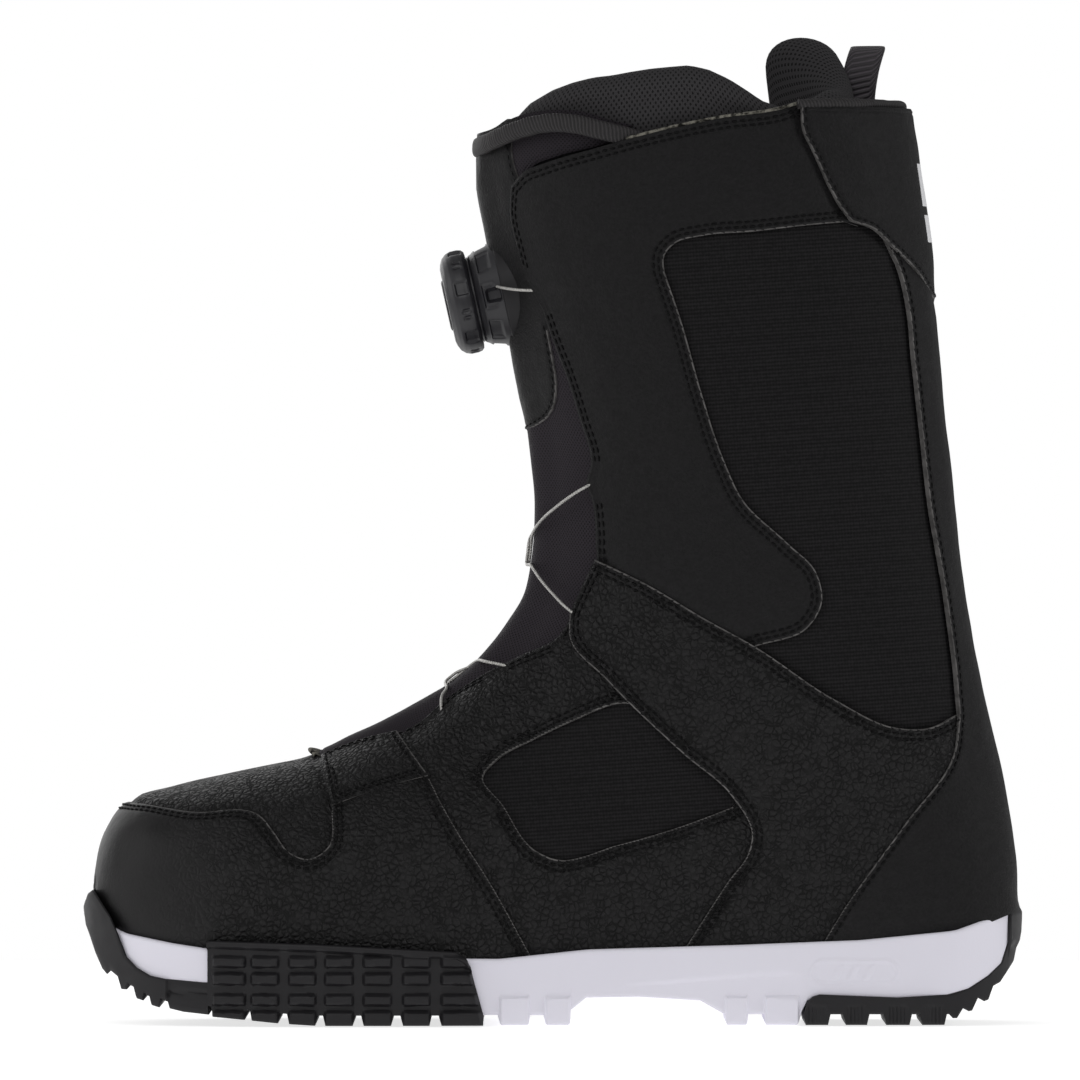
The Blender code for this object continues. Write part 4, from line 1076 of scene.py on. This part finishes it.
def welded(points, faces):
    """Points at the same place made one, and faces that collapsed left out."""
    _, first, index = np.unique(np.round(points / 0.002).astype(np.int64), axis=0, return_index=True,
                                return_inverse=True)
    index = index.reshape(-1)
    made = []
    for face in faces:
        corners = []
        for corner in face:
            number = int(index[corner])
            if number not in corners:
                corners.append(number)
        if len(corners) > 2:
            made.append(tuple(corners))
    return points[first], made


def box_of(values, low, high, soft):
    """1 between low and high, with soft ends."""
    return smooth((values - low) / soft + 0.5) * smooth((high - values) / soft + 0.5)


def knob_marks(angles, radius, height):
    """Finger recesses round the knob: wide cups and pairs of narrow slots, in turn."""
    if radius < 15.5:
        return 0.0
    place = (angles / (2.0 * math.pi) * 6.0) % 1.0
    along = (place - 0.25) * 2.0 * math.pi * DIAL_RADIUS / 6.0
    beside = (place - 0.75) * 2.0 * math.pi * DIAL_RADIUS / 6.0
    cup = box_of(along, -2.3, 2.3, 0.9) * box_of(height, 10.9, 14.9, 0.8)
    slots = box_of(beside, -1.7, -0.6, 0.5) + box_of(beside, 0.6, 1.7, 0.5)
    return -0.95 * cup - 0.7 * slots * box_of(height, 11.6, 14.2, 0.6)


def housing_marks(angles, radius, height):
    """Cord exits on both sides and shallow moulded pockets."""
    if radius < 12.0:
        return 0.0
    side = np.abs((angles + math.pi / 2.0) % math.pi - math.pi / 2.0) * radius
    cord_exit = (1.0 - smooth((side - 1.8) / 0.6)) * box_of(height, 0.6, 5.2, 0.6)
    place = (angles / (2.0 * math.pi) * 8.0 + 0.5) % 1.0
    beside = (place - 0.5) * 2.0 * math.pi * radius / 8.0
    pocket = box_of(beside, -4.0, 4.0, 1.0) * box_of(height, 2.4, 6.4, 0.8)
    return -2.6 * cord_exit - 0.8 * pocket * (1.0 - cord_exit)


def line_of(*corners, step=0.45):
    """Profile with points added along each straight."""
    made = []
    for (r0, h0), (r1, h1) in zip(corners, corners[1:]):
        count = max(1, int(math.hypot(r1 - r0, h1 - h0) / step))
        made += [(mix(r0, r1, t), mix(h0, h1, t)) for t in np.arange(count) / count]
    return made + [corners[-1]]


def build_dial():
    rim = line_of((13.6, 18.2), (15.4, 17.3), (16.6, 15.9), (17.2, 14.2), (17.2, 12.0), (16.9, 10.6),
                  (16.1, 9.8), (14.9, 9.6))
    turned("dial_knob", [(0.0, 18.5), (9.0, 18.6), (12.0, 18.6)] + rim + [(14.9, 12.6), (0.0, 12.6)],
           "plastic", "knob", steps=216, bump=knob_marks, nodes=("knob_cap", "knob_grip"))
    face = [(0.0, 19.2), (7.5, 19.2), (8.3, 18.9), (8.5, 18.4), (0.0, 18.4)]
    turned("dial_knob_face", face, "rubber", "knob")
    housing = line_of((12.0, 9.2), (13.4, 9.2), (14.4, 8.7), (15.0, 7.6), (15.9, 6.6), (16.4, 4.8),
                      (17.0, 2.6), (17.6, 0.4), (18.0, -1.2), (18.1, -9.0))
    turned("dial_body", housing + [(12.0, -9.0)], "plastic", "tongue", steps=200, bump=housing_marks,
           nodes=("dial_base", "dial_housing"))
    rim = line_of((13.0, 9.0), (14.2, 9.0), (14.2, 9.5), (13.7, 9.6), (13.7, 12.0), (13.0, 12.0))
    turned("dial_body_rim", rim, "plastic", "tongue")
    turned("dial_gasket", [(18.0, 0.2), (18.7, -0.1), (19.0, -0.8), (18.7, -9.0), (18.0, -9.0)], "rubber",
           "tongue")


KEPT_NODES = ["lace_spool", "pawl_disc", "axle_bushing", "axle_screw", "heel_stiffener", "toe_stiffener",
              "lasting_board"]
KEPT_NODES += [f"{kind}_guide_{side}" for kind in ("lace", "instep") for side, _ in SIDES]


def dress_kept_nodes():
    """Detailed finishes for the CAD pieces that are shown as they are."""
    for node in KEPT_NODES:
        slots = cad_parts[node].data.materials
        slots.clear()
        slots.append(PAINTS["steel" if node == "axle_screw" else "plastic"])


# ---------------------------------------------------------------- cords and trims
def over(points, lift, side=-1.0):
    """Space points and normals over side-view places, lifted from the skin."""
    flat = to_flat(points)
    if side > 0:
        flat[:, 0] = -flat[:, 0]
    place, normal, _, _ = skin_frame(flat)
    return place + normal * np.asarray(lift, float)[:, None], normal


def cord(name, *pieces):
    """Round cord through lists of space points with normals."""
    path = hermite(np.vstack([points for points, _ in pieces]), 8)
    ups = np.vstack([normals for _, normals in pieces])
    index = np.linspace(0.0, len(ups) - 1.0, len(path))
    up = np.stack([np.interp(index, np.arange(len(ups)), ups[:, axis]) for axis in range(3)], axis=1)
    return sweep(name, path, up, CORD_RADIUS, CORD_RADIUS, "cord")


def build_cords():
    """Cord from the dial into the cuff, and the two crossings of the throat on each side."""
    for name, side in SIDES:
        start = [(DIAL_SEAT[0] - 2.6, side * 14.5, DIAL_SEAT[2] + 2.4),
                 (DIAL_SEAT[0] - 1.6, side * 17.4, DIAL_SEAT[2] + 2.0)]
        into = over([(-9.0, 240.2), (-6.5, 239.6), (-2.0, 239.0), (3.0, 238.0), (10.0, 237.0)],
                    [0.0, -2.6, -3.2, -4.2, -4.6], side)
        made = cord(f"lace_dial_{name}", (start, [(-1.0, 0.0, 0.0)] * 2), into)
        attach(made, None, "cord")
        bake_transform(made)
        near = over([(26, 182), (18, 179.5), (12.5, 177), (10.4, 175.4), (2, 169), (-3.5, 164), (-5.4, 161)],
                    [-3.0, -3.0, -2.6, -0.2, 1.0, 0.6, 0.6], side)
        crossing = 0.3 if side < 0 else 1.2
        middle = over([(-6.6, 156.5), (-7.6, 153.6)], [crossing, crossing], side)
        far = over([(-7.2, 151.8), (-6.2, 150), (-3.2, 145.5), (1.5, 140), (4.8, 136.4), (8.5, 133.0),
                    (18, 129), (30, 124)], [crossing, 0.6, 0.6, 0.8, 0.4, -2.6, -3.0, -3.0], -side)
        made = cord(f"lace_upper_{name}", near, middle, far)
        attach(made, None, "cord", f"lace_{name}_run")
        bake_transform(made)
        near = over([(-15.0, 118.2), (-19.5, 118.0), (-28, 116.5)], [-2.6, 0.2, -0.3], side)
        crossing = -0.2 if side < 0 else 0.9
        middle = over([(-32.8, 114.6)], [crossing], side)
        far = over([(-33.6, 112.4), (-34.6, 109.4), (-36.0, 106.6), (-36.8, 103.6), (-36.0, 100.5)],
                   [crossing, 0.0, 0.2, -1.7, -2.6], -side)
        attach(cord(f"lace_lower_{name}", near, middle, far), "shell", "cord")


def both_sides(points, lift):
    """Path over the skin from the outer side round to the inner side."""
    first, up = over(points, lift, -1.0)
    second, down = over(points[::-1], lift[::-1], 1.0)
    path = np.vstack([first[:-1], (first[-1:] + second[:1]) / 2, second[1:]])
    return path, np.vstack([up[:-1], (up[-1:] + down[:1]) / 2, down[1:]])


def build_trims():
    line = hermite([(34, 287), (27.5, 289), (21, 290.8), (15.5, 292.2), (7, 294.2), (-1.5, 294.6),
                    (-11.5, 292.6), (-18.5, 290.0), (-23.5, 288.0), (-34, 286.4)], 10)
    lift = -0.9 - 4.0 * smooth((line[:, 0] - 14.0) / 14.0)
    path, up = both_sides(line, lift)
    sweep("tongue_binding_band", path, up, 3.1, 1.7, "webbing", "tongue", sides=18, power=2.6,
          ripple=(0.03, 1.5))
    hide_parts("tongue_binding")
    line = hermite([(80.5, 300.6), (90, 301), (98, 301.1), (106, 301.2), (130, 301.4)], 16)
    path, up = both_sides(line, -0.5 - 2.0 * smooth((line[:, 0] - 98.0) / 16.0))
    sweep("collar_piping_cord", path, up, 1.6, 1.5, "webbing", "shell", sides=14, ripple=(0.06, 1.6))
    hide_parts("collar_piping")
    for name, side in SIDES:
        line = hermite([(24, 289.4), (38.5, 293.0), (55.5, 296.4), (76, 299.6), (82.5, 301.6)], 12)
        path, up = over(line, np.full(len(line), -2.2), side)
        sweep(f"cuff_lining_edge_{name}", path, up, 0.55, 0.9, "lining_edge", "shell", sides=8)
    build_pull_loop()
    build_toe_guide()


def build_pull_loop():
    """Webbing handle that stands up from the back of the collar."""
    arch = hermite([(100.2, -12.5, 297.0), (100.6, -12.6, 305.0), (101.8, -11.8, 312.5), (103.2, -9.4, 317.6),
                    (103.9, -5.0, 319.6), (104.0, 0.0, 320.0), (103.9, 5.0, 319.6), (103.2, 9.4, 317.6),
                    (101.8, 11.8, 312.5), (100.6, 12.6, 305.0), (100.2, 12.5, 297.0)], 8)
    out = unit(np.stack([np.full(len(arch), -0.15), arch[:, 1], (arch[:, 2] - 300.0) * 0.8], axis=1))
    made = sweep("pull_loop_webbing", arch, out, 5.7, 0.9, "loop", "pull_loop", sides=20, power=5.0)
    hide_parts("pull_loop")


def build_toe_guide():
    """Woven cord guide at the front end of the throat."""
    line = hermite([(-76.0, -9.0, 87.0), (-77.5, -5.0, 88.6), (-78.0, 0.0, 89.2), (-77.5, 5.0, 88.8),
                    (-76.0, 9.5, 87.2)], 8)
    line[:, 1] += swing(line[:, 0])
    sweep("toe_cord_guide", line, np.tile([0.2, 0.0, 1.0], (len(line), 1)), 2.2, 0.8, "lining_edge", "shell",
          sides=12, power=3.0)


# ---------------------------------------------------------------- the inner boot
def wall_point(turn, z, depth):
    """Point of the shaft at a turn and height, moved inwards level by depth."""
    column = int(round((abs(turn) if turn <= 1.0 else 2.0 - turn) * (COLUMNS - 1)))
    row = np.interp(-z, -SKIN[:SHAFT_ROWS, column, 2], ROWS[:SHAFT_ROWS])
    place, normal, _, _ = skin_frame([[turn * SPAN, np.interp(row, ROWS, DEPTHS)]])
    level = unit(normal * [1.0, 1.0, 0.0])
    return (place - level * depth)[0] * [1, 1, 0] + [0, 0, z]


# Where a pad's pattern starts on its section, near the top of the outer wall.
RIM_PLACE = 14


def pad(name, turns, section, paint):
    """Padded piece: a section of (height, depth) points carried round the shaft, closed at both ends."""
    points = np.array([[wall_point(turn, z, depth) for z, depth in section(turn)] for turn in turns])
    size = points.shape[1]
    around = lengths(points[:, RIM_PLACE])
    flat = []
    for row, start in zip(points, around):
        along = lengths(row)
        flat.append(np.stack([np.full(size, start), along - along[RIM_PLACE]], axis=1))
    faces = tube_faces(len(turns), size, caps=True)
    made = add_mesh(name, points.reshape(-1, 3), faces, [PAINTS[paint]], sharp=75.0)
    set_uv(made, np.vstack(flat))
    return made


FRONT_RIM = [(-16, 293.5), (-12, 296.5), (-7, 302.4), (-0.5, 306), (6, 308.2), (12.7, 309.7), (19, 310.3),
             (26, 311.5), (32.4, 312.4), (39, 313), (45.5, 313.5), (52, 312.1), (58.7, 309), (64, 305.6),
             (69, 302), (77, 299.3), (84, 296)]


def front_section(turn):
    """Section of the padded front of the inner boot: outer wall, rolled rim, inner wall."""
    rim_line = np.array(FRONT_RIM, float)
    x = wall_point(turn, 300.0, 9.0)[0]
    rim = float(np.interp(x, rim_line[:, 0], rim_line[:, 1]))
    spread = abs(turn)
    width = mix(13.5, 10.0, smooth((spread - 0.35) / 0.3))
    outer = mix(8.0, 6.6, smooth(spread / 0.12))
    bottom = mix(134.0, 232.0, smooth((spread - 0.12) / 0.2))
    round_off = 8.5
    made = []
    for z in np.linspace(bottom, rim - round_off, 16):
        belly = 0.9 * math.exp(-((z - rim + 14.0) / 7.0) ** 2)
        made.append((z, outer + 2.0 * smooth((250.0 - z) / 60.0) - belly))
    for turn_up in np.linspace(0.0, math.pi, 17)[1:-1]:
        depth = outer - 0.6 + width / 2 - (width / 2 + 0.6) * math.cos(turn_up)
        made.append((rim - round_off + round_off * math.sin(turn_up) ** 0.8, depth))
    for z in np.linspace(rim - round_off, bottom + 6.0, 14):
        made.append((z, outer + width - 1.5 * smooth((290.0 - z) / 60.0)))
    return made


def back_section(turn):
    """Section of the thick heel collar: tall and deep at the back, fading into the sides."""
    spread = abs(turn - 1.0)
    fade = 1.0 - smooth((spread - 0.02) / 0.24)
    rim = mix(300.0, 323.6, fade) + 5.0 * math.exp(-((spread - 0.24) / 0.045) ** 2)
    width = mix(9.0, 25.5, fade)
    outer = mix(6.5, 20.5, fade)
    round_off = mix(6.0, 13.0, fade)
    made = []
    for z in np.linspace(240.0, rim - round_off, 14):
        made.append((z, mix(6.0, outer, smooth((z - 262.0) / 40.0))))
    for turn_up in np.linspace(0.0, math.pi, 19)[1:-1]:
        depth = outer + width / 2 - width / 2 * math.cos(turn_up)
        made.append((rim - round_off + round_off * math.sin(turn_up) ** 0.75, depth))
    for z in np.linspace(rim - round_off, 246.0, 16):
        made.append((z, mix(12.0, outer + width, smooth((z - 250.0) / 50.0))))
    return made


def build_liner():
    made = pad("liner_front_pad", np.linspace(-0.73, 0.73, 111), front_section, "spacer_mesh")
    attach(made, None, "spacer_mesh", "liner_tongue")
    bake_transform(made)
    made = pad("liner_heel_collar", np.linspace(0.62, 1.38, 81), back_section, "spacer_mesh")
    attach(made, "shell", "spacer_mesh", "liner_collar_pad")
    build_lining()


def build_lining():
    """Inside of the inner boot: a double skin with the throat left open."""
    turns = np.linspace(-1.0, 1.0, 100, endpoint=False)
    rows = np.linspace(1.5, 25.2, 96)
    wide = len(turns)
    faces = [face for number, face in enumerate(tube_faces(len(rows), wide))
             if rows[number // wide] >= 9.5 or abs(turns[number % wide] + 0.01) >= 0.2]
    used, index = np.unique(np.array(faces), return_inverse=True)
    faces = [tuple(int(corner) for corner in face) for face in index.reshape(-1, 4)]
    rib_shade_and_tone = np.array([(turn * SPAN, np.interp(row, ROWS, DEPTHS)) for row in rows for turn in turns])
    place, normal, _, _ = skin_frame(rib_shade_and_tone[used])
    outer = place - normal * 6.2
    low_faces, inner, _ = edge_band(faces, outer, place - normal * 9.6, True)
    points = np.vstack([outer, inner])
    made = add_mesh("liner_lining", points, faces + low_faces, [PAINTS["lining"]], sharp=75.0)
    set_uv(made, np.stack([points[:, 0] + points[:, 1], points[:, 2]], axis=1))
    attach(made, "shell", "lining", "liner_boot")


# ---------------------------------------------------------------- the sole
def plan_half_width(x, grow):
    """Half width of the sole in plan."""
    reach = np.clip((FOREFOOT_X - x) / (FOREFOOT_X - SOLE_TIP_X + grow), 0.0, 1.0)
    toe = (FOREFOOT_HALF_WIDTH + SOLE_MARGIN + grow) * (1.0 - reach ** 2.3) ** (1.0 / 2.3)
    heel_start = 112.0
    body = foot_half_width(np.minimum(x, heel_start)) + SOLE_MARGIN + grow
    reach = np.clip((x - heel_start) / (SOLE_HEEL_X - heel_start + grow), 0.0, 1.0)
    return np.where(x < FOREFOOT_X, toe, body * (1.0 - reach ** 2.8) ** (1.0 / 2.8))


def stations_between(first, last, profile, step=0.6):
    """X places: even ones, close ones at the tips and the corners of a profile."""
    corners = np.array(profile, float)[:, 0]
    turn = (1.0 - np.cos(np.linspace(0.0, np.pi, 170))) / 2.0
    tips = SOLE_TIP_X + turn * (SOLE_HEEL_X - SOLE_TIP_X)
    xs = np.concatenate([np.arange(first, last, step), tips, corners - 0.3, corners, corners + 0.3,
                         [first, last]])
    return np.unique(np.round(xs[(xs >= first) & (xs <= last)], 2))


def slab(name, paint, first, last, low, high, grow, rows, bump, step=0.6, nodes=()):
    """Sole part: its plan outline carried up from a bottom line to a top line, with a bump outwards."""
    xs = stations_between(first, last, low, step)
    low_line = np.array(low, float)
    high_line = np.array(high, float)
    bottom = np.interp(xs, low_line[:, 0], low_line[:, 1])
    top = np.interp(xs, high_line[:, 0], high_line[:, 1])
    top = np.maximum(top, bottom + 0.2)
    share = (xs - SOLE_TIP_X) / (SOLE_HEEL_X - SOLE_TIP_X)
    real = mix(SOLE_TIP_X - grow, SOLE_HEEL_X + grow, share)
    half = plan_half_width(real, grow)
    normal = unit(np.stack([-np.gradient(half, real), np.ones(len(xs))], axis=1))
    rings = []
    for height in rows:
        z = mix(bottom, top, height)
        push_out = bump(xs, z, bottom, top)
        x = real + normal[:, 0] * push_out
        y = np.maximum(half + normal[:, 1] * push_out, 0.0)
        y = np.where(half < 1e-3, 0.0, y)
        outer = np.stack([x, swing(x) - y, z], axis=1)
        inner = np.stack([x, swing(x) + y, z], axis=1)
        rings.append(np.vstack([outer, inner[::-1]]))
    count = 2 * len(xs)
    faces = tube_faces(len(rings), count)
    last_ring = (len(rings) - 1) * count
    for place in range(len(xs) - 1):
        far = count - 1 - place
        faces.append((place + 1, place, far, far - 1))
        faces.append((last_ring + place, last_ring + place + 1, last_ring + far - 1, last_ring + far))
    made = add_mesh(name, *welded(np.vstack(rings), faces), [PAINTS[paint]], sharp=38.0)
    attach(made, "shell", paint, *nodes)
    return made


def edge_round(z, bottom, top, low_radius, high_radius):
    """Pull inwards near the bottom and the top, for rounded edges."""
    low = np.clip((bottom + low_radius - z) / low_radius, 0.0, 1.0)
    high = np.clip((z - top + high_radius) / high_radius, 0.0, 1.0)
    return sum(-radius * (1.0 - np.sqrt(1.0 - part ** 2 * 0.99))
               for radius, part in ((low_radius, low), (high_radius, high)))


FOAM_LOW = [(-146, 30), (-142.5, 26.5), (-140, 20), (-136, 16), (-131.5, 13.5), (-126.5, 12.5),
            (-112, 11.5), (-111, 5), (-27, 5), (-23, 3.4), (-17.7, 3.4), (-17, 0.6), (-16.6, 0), (-8, 0),
            (-7.5, 0.6), (-7, 3.3), (-2.6, 3.3), (-2, 0.6), (-1.6, 0), (5.4, 0), (6.1, 0.6), (6.4, 4.9),
            (11.5, 9), (29, 9.2), (49, 8), (56.4, 3.9), (57.2, 3.5), (57.6, 0.6), (58, 0), (64.1, 0),
            (64.6, 0.6), (65, 3.5), (70.1, 3.5), (70.5, 0.6), (70.9, 0), (80.9, 0), (81.5, 0.6),
            (82.6, 4.2), (84.5, 8), (87.5, 9), (113, 8.2), (129.5, 9), (137, 11.3), (143, 15), (147.5, 19),
            (149.6, 25), (152.8, 34)]
FOAM_LUGS = [(-17, -7.5), (-2, 6), (57.5, 64.6), (70.5, 81.5)]
POD_COLUMNS = [(-110.3, -99.8), (-97.5, -88.9), (-85.3, -76.8), (-73.5, -64.6), (-61, -52.1), (-48.2, -39.6),
               (-35.7, -27.1)]
POD_ROWS = [(19.1, 23.2), (13.4, 17.8), (6.7, 10.9), (-2.0, 5.4)]
HEEL_LUGS = [(83, 90.3), (96.1, 103), (109.3, 116.9), (121.1, 128.4)]
TOE_LOW = [(-154, 36.5), (-153, 31), (-150, 23), (-147.6, 17.8), (-146.2, 16.2), (-145, 17.4),
           (-142.4, 15.4), (-141.2, 11.4), (-139.6, 11.3), (-138.8, 13), (-136.9, 12), (-136, 8.4),
           (-134, 7.8), (-133.3, 9.9), (-131.6, 9), (-131, 6.3), (-128.6, 5.6), (-127.8, 8.2),
           (-125.9, 7.6), (-125.4, 5.3), (-121, 4.3), (-112, 3.4)]
TOE_HIGH = [(-154, 38.5), (-152.6, 42.5), (-151, 43.6), (-149.5, 41.5), (-145, 35), (-142.5, 29.5),
            (-140, 22.5), (-136, 18.5), (-131.5, 16), (-126.5, 15), (-114, 14), (-112, 14)]
HEEL_HIGH = [(82.2, 3), (83.4, 7.4), (85, 9.2), (87.5, 10), (113, 9), (129.5, 10), (136.5, 12), (143, 16),
             (147.5, 20), (149.5, 26), (150.2, 43), (152.5, 42.4), (154, 38)]
HEEL_END = [(131.2, 2.2), (132.6, 2.2), (134.6, 5.4), (136.6, 4.4), (137.6, 4.6), (139.6, 8.8),
            (141.8, 7.6), (143, 8), (144.6, 12.4), (147, 13.6), (151.5, 20), (153.5, 29), (154, 35)]


def lug_line(lugs, ground, gap, first, last, slope=0.8):
    """Bottom line of a tread: down at each lug, up between them."""
    made = [(first, ground(first) + gap)] if lugs[0][0] - slope > first else []
    for start, end in lugs:
        made += [(start - slope, ground(start) + gap), (start, ground(start)), (end, ground(end)),
                 (end + slope, ground(end) + gap)]
    return [point for point in made if first <= point[0] <= last] + [(last, ground(last) + gap)]


def foam_bump(xs, z, bottom, top):
    """Shape of the foam wall: rounded edges, a soft ledge, side lugs and a plain raised badge."""
    made = edge_round(z, bottom, top, 0.8, 1.2) + 1.2 * smooth((xs - 118.0) / 16.0)
    for start, end in FOAM_LUGS:
        made = made + 0.9 * box_of(xs, start, end, 0.9) * smooth((9.6 - z) / 0.9)
    ledge = 14.0 + 3.5 * smooth((xs - 20.0) / 60.0)
    zone = smooth((xs - 22.0) / 18.0) * smooth((84.0 - xs) / 8.0)
    made = made - 0.7 * zone * smooth((ledge - z) / 1.6)
    dx = np.maximum(np.abs(xs - 100.0) - 10.5, 0.0)
    gap = np.hypot(dx, z - 17.2) - 3.7
    made = made + 0.35 * np.exp(-(gap / 0.45) ** 2)
    slash = np.abs(((xs - z * 0.5) % 5.2) - 2.6)
    badge = smooth((-gap - 1.2) / 0.4) * box_of(xs, 91.5, 108.5, 0.8)
    return made + 0.3 * (1.0 - smooth((slash - 0.7) / 0.5)) * badge


def pod_bump(xs, z, bottom, top):
    """Seven columns of four side lugs under a plain rim."""
    made = edge_round(z, bottom, top, 0.6, 0.9)
    column = sum(box_of(xs, start, end, 1.3) for start, end in POD_COLUMNS)
    row = sum(smooth((high - z) / 1.7) * smooth((z - low) / 0.7 + 0.5) for low, high in POD_ROWS)
    return made - 0.9 + 1.9 * column * row + 1.2 * smooth((z - top + 2.6) / 0.7)


def plain_bump(xs, z, bottom, top):
    return edge_round(z, bottom, top, 1.0, 0.8)


def toe_bump(xs, z, bottom, top):
    """Toe tread wall with a sunk link behind its teeth."""
    link = smooth((xs + 126.2) / 0.7)
    made = edge_round(z, bottom, top, 1.0, 0.8) - 0.8 * link
    return made - 0.7 * link * box_of(z, 9.6, 11.0, 0.5)


def heel_bump(xs, z, bottom, top):
    """Heel tread wall with fluted lugs and a raised tab at the back."""
    made = edge_round(z, bottom, top, 0.8, 0.8)
    flutes = sum(box_of(xs, start + 0.6, end - 0.6, 0.8) for start, end in HEEL_LUGS)
    made = made - 0.18 * flutes * (1.0 + np.sin(xs * 2.0 * math.pi / 1.25)) * smooth((7.0 - z) / 1.5)
    return made + 0.7 * box_of(z, 26.0, 37.0, 2.0) * smooth((xs - 148.0) / 2.0)


def build_sole():
    top_line = [(x, float(feather(x)) + 0.2) for x in np.linspace(-146, 154, 120)]
    slab("midsole_foam", "foam", -146.0, 152.8, FOAM_LOW, top_line, -1.6, wall_rows(34), foam_bump, step=0.7,
         nodes=("midsole",))
    slab("toe_rubber", "rubber", SOLE_TIP_X, -112.4, TOE_LOW, TOE_HIGH, 0.0, wall_rows(12), toe_bump,
         nodes=("toe_outsole",))

    def ground(x):
        return float(np.interp(x, [-112, -100, -88, -76, 200], [3.0, 1.9, 0.7, 0.0, 0.0]))

    low = lug_line(POD_COLUMNS, ground, 3.3, -112.2, -26.6)
    high = [(-112.2, 27.2), (-111, 27.6), (-77.5, 26.6), (-31, 24.1), (-28.2, 22.4), (-26.6, 19.6)]
    made = slab("forefoot_pod", "rubber", -112.2, -26.6, low, high, 0.6, wall_rows(58), pod_bump, step=0.55,
                nodes=("forefoot_outsole",))
    lean_end(made, -26.6, -21.0, 20.0)
    low = lug_line(HEEL_LUGS, lambda x: 0.0, 3.5, 82.2, 130.0) + HEEL_END
    slab("heel_rubber", "rubber", 82.2, SOLE_HEEL_X, low, HEEL_HIGH, 0.0, wall_rows(26), heel_bump,
         nodes=("heel_outsole",))
    bed = [(x, float(feather(x)) + 3.2) for x in np.linspace(-137, 138, 60)]
    slab("footbed_sheet", "lining", -134.0, 136.0, bed, [(x, z + 4.0) for x, z in bed], -14.0, wall_rows(4),
         plain_bump, step=3.0, nodes=("footbed",))


def wall_rows(count):
    """Shares of the wall's height, closer near the bottom and top."""
    t = np.linspace(0.0, 1.0, count)
    return np.concatenate([[0.0, 0.004, 0.012], t[1:-1], [0.985, 0.995, 1.0]])


def lean_end(made, first, last, height):
    """Slants the heel end of the forefoot tread: its foot reaches further back than its top."""
    count = len(made.data.vertices)
    co = np.zeros(count * 3)
    made.data.vertices.foreach_get("co", co)
    co = co.reshape(-1, 3) / MM
    share = np.clip((height - co[:, 2]) / height, 0.0, 1.0)
    zone = smooth((co[:, 0] - (first - 3.0)) / 3.0)
    co[:, 0] += zone * share * (last - first)
    made.data.vertices.foreach_set("co", (co * MM).ravel())
    made.data.update()


# ---------------------------------------------------------------- studio
def build_studio():
    """Camera level with the boot's middle, a pale floor and soft lamps."""
    scene = bpy.context.scene
    scene.view_settings.view_transform = "Standard"
    data = bpy.data.cameras.new("camera")
    data.lens = 608.0
    data.sensor_width = 36.0
    data.clip_start = 0.1
    data.clip_end = 50.0
    camera = bpy.data.objects.new("camera", data)
    scene.collection.objects.link(camera)
    camera.location = Vector((-3.8, -6000.0, 158.4)) * MM
    camera.rotation_euler = (math.radians(90.0), 0.0, 0.0)
    scene.camera = camera
    scene.world = studio_world()
    floor = add_mesh("floor", [(900 * math.cos(a), 900 * math.sin(a), -0.4)
                               for a in np.linspace(0, 2 * math.pi, 48, endpoint=False)],
                     [tuple(range(48))], [floor_paint()])
    lamp("key", (-420.0, -1500.0, 1350.0), 1500.0, 8.7)
    lamp("front", (-1700.0, -150.0, 700.0), 1500.0, 7.0)
    lamp("back", (1300.0, -300.0, 700.0), 600.0, 4.0)
    lamp("rim", (-600.0, 1400.0, 650.0), 1300.0, 6.5)


def studio_world():
    """White to the camera, much dimmer as a source of light."""
    world = bpy.data.worlds.new("studio")
    world.use_nodes = True
    tree = world.node_tree
    dim = tree.nodes["Background"]
    dim.inputs[0].default_value = (1.0, 1.0, 1.0, 1.0)
    dim.inputs[1].default_value = 0.3
    bright = tree.nodes.new("ShaderNodeBackground")
    bright.inputs[0].default_value = (1.0, 1.0, 1.0, 1.0)
    bright.inputs[1].default_value = 1.0
    chooser = tree.nodes.new("ShaderNodeMixShader")
    path = tree.nodes.new("ShaderNodeLightPath")
    tree.links.new(path.outputs["Is Camera Ray"], chooser.inputs[0])
    tree.links.new(dim.outputs[0], chooser.inputs[1])
    tree.links.new(bright.outputs[0], chooser.inputs[2])
    tree.links.new(chooser.outputs[0], tree.nodes["World Output"].inputs[0])
    return world


def floor_paint():
    made = bpy.data.materials.new("floor")
    made.use_nodes = True
    shader = made.node_tree.nodes["Principled BSDF"]
    shader.inputs["Base Color"].default_value = (0.6, 0.6, 0.6, 1.0)
    shader.inputs["Roughness"].default_value = 0.9
    shader.inputs["Emission Color"].default_value = (1.0, 1.0, 1.0, 1.0)
    shader.inputs["Emission Strength"].default_value = 0.72
    return made


def lamp(name, place, size, power):
    data = bpy.data.lights.new(name, "AREA")
    data.shape = "DISK"
    data.size = size * MM
    data.energy = power
    made = bpy.data.objects.new(name, data)
    bpy.context.scene.collection.objects.link(made)
    made.location = Vector(place) * MM
    aim = Vector((0.0, 0.0, 150.0)) * MM - made.location
    made.rotation_mode = "QUATERNION"
    made.rotation_quaternion = aim.to_track_quat("-Z", "Y")


build_upper()
build_mark()
build_tongue()
build_gusset()
build_liner()
build_sole()
build_dial()
dress_kept_nodes()
build_cords()
build_trims()
build_stitches()
build_studio()
